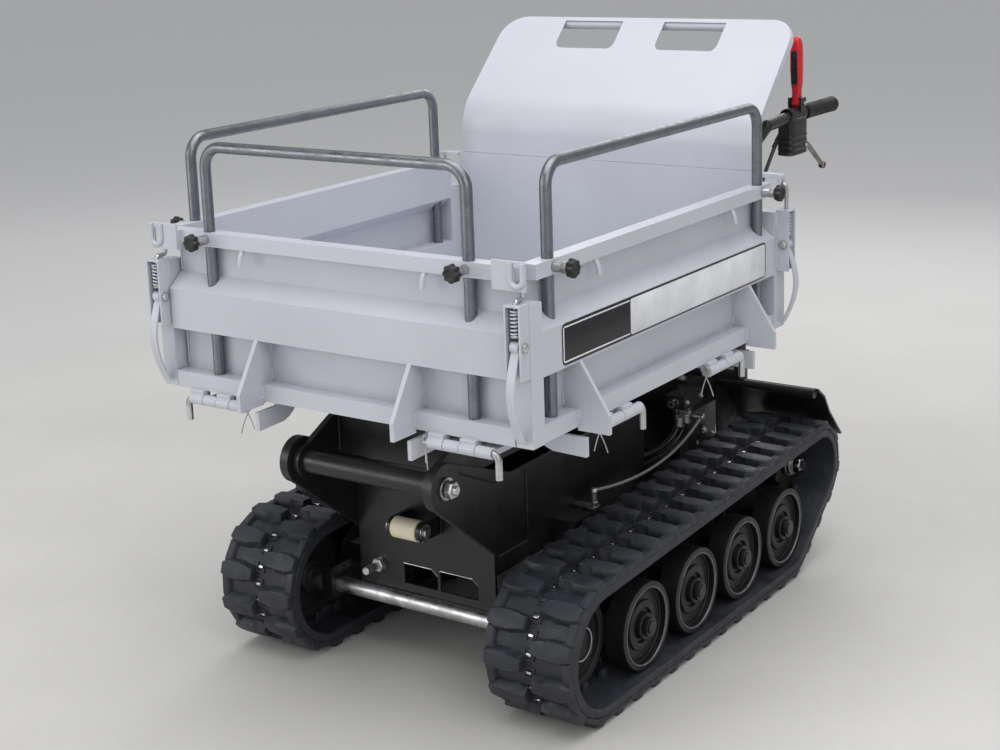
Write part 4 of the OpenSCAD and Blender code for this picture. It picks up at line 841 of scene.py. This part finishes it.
KNOB = [
    (0, 0), (9, 0), (9.5, 1.5), (13.2, 2.5), (14.6, 4), (14.8, 9), (14.3, 13), (12.6, 15.2), (9, 15.8),
    (7, 15.2), (6.4, 14.2), (0, 13.9),
]
SCREW = [(0, -1), (4, -1), (4, 1)] + [(3.6 if k % 2 else 4, 1 + k * 0.75) for k in range(1, 14)]
SCREW += [(3.2, 12), (0, 12.4)]
for board, words in (("front", ("left", "right")), ("left", ("front", "rear")), ("right", ("front", "rear"))):
    for word, leg in zip(words, BOARDS[board]["legs"]):
        node = f"{board}_knob_{word}"
        out = outward(board)
        foot = on_board(board, leg, -18.3, KNOB_Z)
        turned_piece(f"{node}_head", "plastic", node, (foot, out, KNOB, 96, 8, 0.09), [node])
        turned_piece(f"{node}_screw", "zinc", node, (foot, -out, SCREW, 20))
        bm = bmesh.new()
        turned(bm, foot, -out, [(4.4, 0.4), (9.4, 0.4), (10.2, 1.2), (10.2, 9), (9.4, 10), (4.4, 10)], 6)
        turned(bm, foot, -out, [(8.3, 9), (8.8, 9.4), (8.8, 26), (8.3, 26.4)], 32)
        piece(f"{node}_collar", bm, "zinc", f"{board}_board")


# Latches: levers kept, hooks and springs in round wire

HOOK_LINES = {
    "front": [(0, HOOK_Z), (0, 780), (0, 800), (1, 806), (5, 809.3), (12, 809.5), (19, 809.5), (22.6, 812),
              (23.5, 818), (23.5, 836), (23.5, 854)],
    "rear": [(0, HOOK_Z), (0, 790), (0, 830), (0, 842), (1, 848), (5, 852), (10, 852.3), (15.5, 852)],
}
COIL_TURNS = 7.25
COIL_R = 8.1
COIL_STEPS = 22


def coil_point(which, side, i):
    """A point of a spring with closed ends, counted in steps of a turn."""
    a = tau * i / COIL_STEPS
    share = i / (COIL_TURNS * COIL_STEPS)
    rise = 6 + 35.2 * min(1, max(0, (share - 0.1) / 0.8)) + share
    return on_latch(which, side, COIL_R * cos(a), COIL_R * sin(a) - LATCH_OUT, HOOK_Z + rise)


for which, line in HOOK_LINES.items():
    for word, side in SIDE.items():
        node = f"latch_hook_{which}_{word}"
        dress(f"latch_lever_{which}_{word}", "bed", 1.2)
        bm = bmesh.new()
        swept(bm, rounded([on_latch(which, side, 0, out - LATCH_OUT, z) for out, z in line]), 4, 14)
        foot = on_latch(which, side, 0, -LATCH_OUT, HOOK_Z)
        turned(bm, foot, Z, [(0, 0), (9, 0), (9.8, 0.8), (9.8, 3.2), (9, 4)], 32)
        piece(f"{node}_rod", bm, "zinc", node, [node])
        bm = bmesh.new()
        swept(bm, [coil_point(which, side, i) for i in range(int(COIL_TURNS * COIL_STEPS) + 1)], 1.7, 8)
        piece(f"{node}_spring", bm, "spring", node)


# Hinge pins bent from round rod, and the hairpins through them

ROD_T = -2
ROD_LENGTH = 147
ROD_BEND = 12
RODS = [("front", -194, -1), ("front", 194, 1)] + [(board, s, 1) for board in SIDE for s in (195, 570)]

bm = bmesh.new()
for board, tail, way in RODS:
    corner = tail + way * ROD_LENGTH
    path = [on_board(board, s, ROD_T, HINGE_Z) for s in (tail, (tail + corner) / 2)]
    for k in range(7):
        a = pi / 2 * k / 6
        s = corner - way * ROD_BEND * (1 - sin(a))
        path.append(on_board(board, s, ROD_T, HINGE_Z - ROD_BEND * (1 - cos(a))))
    path.append(on_board(board, corner, ROD_T, HINGE_Z - 42))
    swept(bm, path, 6, 16)
piece("hinge_rods", bm, "zinc", "bed", ["hinge_pins"])

bm = bmesh.new()
for board, tail, way in RODS:
    s = tail + 3 * way
    eye = [(0, -9, 558), (-2, -5, 562), (2, 0, 561), (1, 3, 556), (0, 0, 549), (0, -4, 541)]
    legs = (
        eye + [(5 * way, -9, 524), (9 * way, -13, 506)],
        [(0, -9, 558), (-1, -5, 548), (-4 * way, 0, 530), (-7 * way, 4, 511)],
    )
    for leg in legs:
        swept(bm, rounded([on_board(board, s + a, t, z) for a, t, z in leg]), 1.1, 7)
piece("hinge_hairpins", bm, "zinc", "bed")


# Handlebar ends: ribbed grips, clutch handle, steering levers and their perches

bm = bmesh.new()
ribs = [(12.6, 0), (14.5, 0), (16.5, 0.8), (16.5, 6), (15, 7)]
for h in range(9, 129, 10):
    ribs += [(15, h), (16, h + 1.5), (16, h + 6), (15, h + 7.5)]
ribs += [(15.2, 131), (16.5, 134), (16.5, 140), (15.5, 142.6), (12, 143.8), (0, 144)]
for side in (1, -1):
    turned(bm, at(side * GRIP_X, 1182, GRIP_Z), Y, ribs, 40)
piece("grip_sleeves", bm, "grip", "chassis", ["grips"])

# The clutch handle's sections: height, reach to the front and to the back, and half width
HANDLE = [
    (0, 10, 9.5, 9), (14, 9.5, 8.5, 9), (28, 9.5, 8.5, 9), (40, 10.5, 10, 11), (70, 12.5, 10.5, 12),
    (100, 12.5, 10.5, 12), (122, 11.5, 9, 11.5), (132, 9, 6, 9), (137.6, 4.5, 2.6, 4),
]
HANDLE_LEAN = -0.02

bm = bmesh.new()
rings = []
for z, front, back, half in HANDLE:
    middle = at(GRIP_X, LEVER_Y - 0.5 + HANDLE_LEAN * z, CLUTCH_Z + z)
    rings.append(squared_ring(bm, middle, half, front, back, 0.6, 24))
skin(bm, rings, "flat")
eye = [(4.05, 0), (9.4, 0), (10, 0.6), (10, 17.4), (9.4, 18), (4.05, 18)]
turned(bm, at(GRIP_X - 9, LEVER_Y, CLUTCH_Z), X, eye, 36)
piece("clutch_handle", bm, "red", "clutch_lever", ["clutch_lever"], 50)

bm = bmesh.new()
inset = [at(GRIP_X + x, 1137.4 + HANDLE_LEAN * z, CLUTCH_Z + 74 + z) for x, z in rounded_box(13, 70, 6)]
plate(bm, inset, Vector((0, -2.2, -0.05)), 0.5)
for z in (52, 74, 96):
    turned(bm, at(GRIP_X, 1133.4, CLUTCH_Z + z), -Y, [(4.6, 0), (4.6, 0.7), (3.6, 1.1), (0, 1.1)], 20)
piece("clutch_handle_inset", bm, "plastic", "clutch_lever")

BLADE = [(LEVER_Y, STEER_Z), (1166, 889), (1184, 888), (1204, 879), (1224, 865), (1250, 846), (1276, 827)]
for word, side in SIDE.items():
    node = f"steering_lever_{word}"
    bm = bmesh.new()
    path = rounded([at(side * GRIP_X, y, z) for y, z in BLADE], 6)
    swept(bm, path, [6.6 - 1.8 * i / (len(path) - 1) for i in range(len(path))], 14)
    tip = [(2.6, 0), (6.4, 0), (8, 2), (8, 10), (6.4, 12), (2.6, 12)]
    turned(bm, at(side * GRIP_X - 6, *BLADE[-1]), X, tip, 28)
    eye = [(4.05, 0), (8.4, 0), (9, 0.6), (9, 17.4), (8.4, 18), (4.05, 18)]
    turned(bm, at(side * GRIP_X - 9, LEVER_Y, STEER_Z), X, eye, 32)
    piece(f"{node}_blade", bm, "lever", node, [node], 50)

BELLOWS = [
    (13, 0), (17, 2), (17, 5), (14, 7.5), (17.6, 10), (17.6, 13), (14.4, 15.5), (18.2, 18), (18.2, 21),
    (15, 23.5), (18.6, 26), (18.6, 30), (16, 33), (15, 38), (14, 40),
]
CLAMP = [(13, 0), (16, 0.8), (16, 17), (15, 18), (15, 48), (16, 49), (16, 64), (13, 65)]
FERRULE = [(0, -10), (6, -10), (6, 6), (5, 8), (5, 20), (4.2, 22)]
BOOT_Z = 871
BOOT_RINGS = 33

bm = bmesh.new()
for side in (1, -1):
    turned(bm, at(side * GRIP_X, 1118, 908), Z, [(0, 0)] + BELLOWS, 32)
    turned(bm, at(side * GRIP_X, 1100, GRIP_Z), Y, CLAMP, 36)
    turned(bm, at(side * 297, 1100, 905), Vector((-side * 0.2, -0.6, -0.77)).normalized(), FERRULE, 20)
    rings = []
    for k in range(BOOT_RINGS):
        fold = 1.1 * sin(k * pi / 2.5) if k < 18 else 0
        if k in (0, BOOT_RINGS - 1):
            fold -= 3
        middle = at(side * GRIP_X, 1129, BOOT_Z + 2.4 * k)
        rings.append(squared_ring(bm, middle, 18.4 + fold, 38.6 + fold, 38.6 + fold, 0.4, 28))
    skin(bm, rings, "flat")
piece("lever_perches", bm, "plastic", "chassis")

bm = bmesh.new()
for way in (1, -1):
    bolt(bm, at(GRIP_X + 15 * way, LEVER_Y, CLUTCH_Z), X * way, 5, False)
    for side in (1, -1):
        bolt(bm, at(side * GRIP_X + 18 * way, LEVER_Y, STEER_Z), X * way, 5, False)
        bolt(bm, at(side * 118 + 15 * way, *DECK_LEVER), X * way, 5, False)
piece("lever_bolts", bm, "zinc", "chassis")


# Wheels: rims, hub caps and bolts

for word, side in SIDE.items():
    out = X * side
    for i in range(4):
        wheel = f"road_wheel_{word}_{i + 1}"
        y = WHEEL_Y + WHEEL_PITCH * i
        # A paler ring on each rim's edge: partly rubbed paint, partly painted highlight
        rim = [(WHEEL_R - r, h) for r, h in ((12.4, -1.5), (11.6, 0.6), (10.4, 0.8), (9.8, -0.6))]
        turned_piece(f"{wheel}_edge", "worn_and_highlit", wheel, (at(side * (TRACK + 72), y, WHEEL_Z), out, rim, 72))
        bm = bmesh.new()
        floor = at(side * (TRACK + 58), y, WHEEL_Z)
        turned(bm, floor, out, [(48, 0), (46, 5), (43, 6), (34, 6), (32.8, 5), (32.8, 0)], 64)
        turned(bm, floor, out, [(62, -0.4), (62, 1), (60, 1.6), (58.6, 1), (58.6, -0.4)], 64)
        piece(f"{wheel}_hub", bm, "wheel", wheel)

    idler = f"idler_{word}"
    cap = [(0, 0), (25.4, 0), (25.4, 1.2), (22, 2.2), (0, 2.4)]
    turned_piece(f"{idler}_cap", "plastic", idler, (at(side * (TRACK + 30.2), *IDLER), out, cap, 40))
    rim = [(28.6, -3), (28.8, 0.6), (29.4, 1), (30.6, 1), (31.2, 0.4), (31.4, -6)]
    turned_piece(f"{idler}_hub_edge", "zinc", idler, (at(side * (TRACK + 34), *IDLER), out, rim, 56))
    bm = bmesh.new()
    for k in range(6):
        a = tau * k / 6
        place = at(side * (TRACK + 16), *IDLER) + Vector((0, cos(a), sin(a))) * 0.05
        turned(bm, place, out, [(8, 0), (9.6, 0.3), (9.6, 1), (7.6, 1.4), (7, 0.4), (0, 0.3)], 28)
    piece(f"{idler}_pressings", bm, "wheel", idler)

    bm = bmesh.new()
    foot = at(side * (TRACK + 13), *SPROCKET)
    for low, high, r in ((0, 5.2, 28.3), (7, 12.2, 25.3), (12, 17, 19.3)):
        washer = [(0, low), (r - 0.8, low), (r, low + 0.8), (r, high - 0.8), (r - 0.8, high)]
        turned(bm, foot, out, washer, 48)
    bolt(bm, foot + out * 0.0148, out, 16, False)
    piece(f"sprocket_{word}_washers", bm, "zinc", f"sprocket_{word}")


# Chassis: welds, pins and bolts

bm = bmesh.new()
for side in (1, -1):
    for a, b in (((120, 455), (236, 402)), ((240, 262), (328, 262)), ((330, 264), (330, 398))):
        bead(bm, at(side * 166, *a), at(side * 166, *b), 2.6)
    for y in (430, 780):
        for x, z in ((157, 268), (204, 191)):
            bead(bm, at(side * x, y, z), at(side * x, y + 60, z), 2.6)
    bead(bm, at(side * 40, 234, 282), at(side * 40, 234, 316))
    for x in (135, 141):
        bead(bm, at(side * x, 168, 436), at(side * x, 168, 505))
piece("chassis_welds", bm, "black", "chassis")

# The two legs of the roller's split pins
SPLIT_PIN = [
    [(184, 312), (187, 306), (188, 299), (187, 290), (180, 281)],
    [(192, 312), (189, 306), (188, 299), (190, 290), (198, 283)],
]
ROLLER_CAP = [(0, 0), (15, 0), (15.6, 0.8), (15.6, 2.4), (9, 3), (9, 6.6), (7.6, 8)]
STUD = (-107, 194)
FLANGE_R = 43
# Sides and top of the front plate's two openings
WINDOWS = ((-52, 26), (32, 118))
WINDOW_Z = 206

bm = bmesh.new()
for side in (1, -1):
    out = X * side
    for leg in SPLIT_PIN:
        swept(bm, rounded([at(side * 38, y, z) for y, z in leg]), 1.5, 8)
    for y in (964, 1226):
        for x in (60, 142):
            bolt(bm, at(side * x, y, 406), Z)
    for y in (968, 988):
        bolt(bm, at(side * 120, y, 426), Z)
    turned(bm, at(side * 220, 262, 150), Y, [(0, -2), (5, -2), (5, 44)], 18)
    bolt(bm, at(side * 220, 262, 150), -Y)
    for k in range(6):
        a = pi * (2 * k + 1) / 6
        place = at(side * 116, SPROCKET[0] + FLANGE_R * cos(a), SPROCKET[1] + FLANGE_R * sin(a))
        bolt(bm, place, out, 6)
    turned(bm, at(side * 169, *PIVOT), out, [(0, 0), (19.6, 0), (20.4, 0.8), (20.4, 3.4), (19.6, 4.2)], 48)
    bolt(bm, at(side * 173, *PIVOT), out, 17, False)
    turned(bm, at(side * 180, *PIVOT), out, [(0, 0), (8.5, 0), (8.5, 10.6), (7, 12)], 28)
    turned(bm, at(side * 143, *PIVOT), out, [(21, 0), (23.4, 0.4), (23.4, 6), (21, 6.4)], 56)
    turned(bm, at(side * 37, *ROLLER), out, ROLLER_CAP, 40)
thread = [(0, -2), (13, -2), (13, 2), (7.6, 2.4), (7.6, 46.4), (6.2, 48)]
turned(bm, at(STUD[0], 236, STUD[1]), -Y, thread, 28)
turned(bm, at(STUD[0], 232, STUD[1]), -Y, [(0, 0), (13.6, 0), (13.6, 9), (12, 10.4)], 6)
# Painted highlight: thin zinc rods along the openings' top and sides stand in for a bright edge
for start, end in WINDOWS:
    edge = [at(x, 235.6, z) for x, z in ((start, WINDOW_Z), (end - 13, WINDOW_Z), (end, WINDOW_Z - 11))]
    for a, b in zip(edge, edge[1:]):
        swept(bm, [a, b], 0.8, 6)
piece("chassis_bolts", bm, "zinc", "chassis")

FLAP = [(1084, 232), (1206, 232), (1206, 262), (1148, 321), (1125, 355), (1100, 368), (1084, 368)]
bm = bmesh.new()
for side in (1, -1):
    plate(bm, [at(side * 157, y, z) for y, z in FLAP], X * 3 * side, 0.4)
piece("guard_flaps", bm, "grip", "chassis")

bm = bmesh.new()
for _, end in WINDOWS:
    corner = [(end - 14, WINDOW_Z + 0.6), (end + 0.6, WINDOW_Z + 0.6), (end + 0.6, WINDOW_Z - 11.4)]
    plate(bm, [at(x, 236.2, z) for x, z in corner], Y * 7, 0.4)
piece("window_corners", bm, "black", "chassis")


# Engine: starter louvres, tank cap, silencer guard and fasteners

STARTER = (1120, 498)


def louvres(bm, x, count, turn, inner, outer, height, bevel):
    """Ring of raised bars on the starter, each between two radii with a half width at each."""
    middle = at(x, *STARTER)
    for k in range(count):
        a = tau * (k + turn) / count
        ray = Vector((0, cos(a), sin(a)))
        wide = Vector((0, -sin(a), cos(a)))
        corners = [(inner[0], -inner[1]), (outer[0], -outer[1]), outer, inner]
        plate(bm, [middle + (ray * r + wide * w) / 1000 for r, w in corners], -X * height, bevel)


bm = bmesh.new()
louvres(bm, -145, 18, 0, (62, 4), (82, 6), 2.4, 0.7)
turned(bm, at(-145, *STARTER), -X, [(84, 0), (84, 2.6), (86, 3.4), (88, 2.4), (88.6, 0)], 72)
louvres(bm, -163, 10, 0.5, (22, 3), (46, 5), 2, 0.6)
turned(bm, at(-163, *STARTER), -X, [(14, 0), (14, 2.2), (12, 3), (0, 3)], 36)
brick(bm, at(-192, 1105, 489.5), at(-170, 1135, 506.5), 5)
fuel_cap = [(0, 0), (24, 0), (25, 2), (25, 17), (23, 20), (14, 22), (0, 22.6)]
turned(bm, at(0, 1122, 676), Z, fuel_cap, 96, 24, 0.03)
oil_cap = [(0, 0), (24, 0), (25, 2), (25, 16), (23, 19.5), (12, 21)]
turned(bm, at(60, 760, 372), Z, oil_cap, 96, 24, 0.03)
turned(bm, at(0, 1062, 588), -Y, [(13, 0), (13, 8), (10, 11), (10, 26), (8, 32), (0, 33)], 28)
piece("engine_mouldings", bm, "plastic", "chassis")

bm = bmesh.new()
plate(bm, [at(x, 1122.5 + y, 642) for x, y in rounded_box(226, 151, 14)], Z * 4, 1)
brick(bm, at(-104, 1056, 680), at(104, 1189, 688), 4)
piece("fuel_tank_seam", bm, "tank", "chassis")

bm = bmesh.new()
for k in range(7):
    y = 1082 + k * 12.6
    brick(bm, at(136, y, 538), at(139.4, y + 6, 594), 1.4)
for z in (528, 598):
    brick(bm, at(135, 1073, z), at(138.2, 1167, z + 6), 1)
turned(bm, at(137, 1154, 566), Vector((0.9, 0.43, 0)), [(9, -6), (9, 14), (7.6, 14), (7.6, 2), (0, 2)], 28)
piece("silencer_guard", bm, "drive", "chassis")

VALVE_PLUG = [(0, 0), (10.2, 0), (10.2, 6), (9, 7), (9, 15.6), (7.6, 17.2), (4.5, 17.2), (4.2, 13)]

bm = bmesh.new()
for y in (1054, 1186):
    for z in (420, 510):
        bolt(bm, at(120, y, z), X, 6)
        bolt(bm, at(-90, y, z), -X, 6)
for x in (-74, -26, 26, 74):
    for z in (430, 500):
        bolt(bm, at(x, 1210, z), Y, 6)
for y in (876, 936):
    bolt(bm, at(200, y, 384), X, 5)
for controls in HOSES.values():
    _, y, _ = controls[0]
    turned(bm, at(PORT_X, y, 371), -Z, [(0, 0), (12.4, 0), (12.4, 10), (11.2, 12)], 6)
turned(bm, at(PORT_X, 867, 384), -Y, VALVE_PLUG, 36)
piece("engine_bolts", bm, "zinc", "chassis")

for body, x, rise, size in (("tip_lever", 118, 160, 14.6), ("gear_lever", -118, 170, 16.6)):
    profile = [(0, -size * 1.3), (7, -size * 1.3), (7.6, -size * 0.9)]
    for degrees in range(-54, 90, 9):
        a = radians(degrees)
        profile.append((size * cos(a), size * sin(a)))
    ball = (at(x, DECK_LEVER[0] + 6, DECK_LEVER[1] + rise), Z, profile + [(0, size)], 36)
    turned_piece(f"{body}_ball", "plastic", body, ball)


# Plain studio: soft light from above and both sides on a pale floor

def lamp(name, place, size, power, target=(0, 0, 0.6)):
    """Soft rectangular light, turned to a target."""
    data = bpy.data.lights.new(name, "AREA")
    data.shape = "RECTANGLE"
    data.size, data.size_y = size
    data.energy = power
    made = added(name, data)
    made.location = place
    made.rotation_euler = (Vector(target) - Vector(place)).to_track_quat("-Z", "Y").to_euler()


lamp("overhead", (0.4, -0.6, 3.6), (3.6, 3.6), 90)
lamp("front_right", (3.4, -2.6, 2.4), (2.4, 2.4), 30)
lamp("front_left", (-2.2, -3.6, 1.5), (2.4, 2.0), 36)
lamp("behind", (-0.8, 3.4, 2.6), (3, 1.6), 34, (0, 0, 0.8))

world = bpy.data.worlds.new("studio")
world.use_nodes = True
scene.world = world
backdrop = world.node_tree.nodes["Background"]
backdrop.inputs["Color"].default_value = (0.94, 0.96, 1, 1)
backdrop.inputs["Strength"].default_value = 0.42

bm = bmesh.new()
bmesh.ops.create_grid(bm, x_segments=8, y_segments=8, size=20)
mesh = as_mesh("floor", bm)
look = Look("floor_cement")
tone = look.ramp(look.noise(1.6, 8), [(0.3, srgb(204, 202, 198)), (0.7, srgb(214, 212, 208))])
tone = look.blend(look.level(look.noise(60, 8), 0.5, 0.8, 0, 0.15), tone, srgb(186, 184, 180))
# Painted light: the floor is painted paler with distance from the object, darker round it
away = look.vector("LENGTH", look.place)
tone = look.blend(look.level(away, 1.4, 4.5), tone, srgb(246, 245, 243))
look.finish(tone, look.noise(12, 6), 0.6, 0.75)
look.bump(look.noise(180, 6), 0.1)
mesh.materials.append(look.material)
floor = added("floor", mesh)

scene.view_settings.view_transform = "Standard"
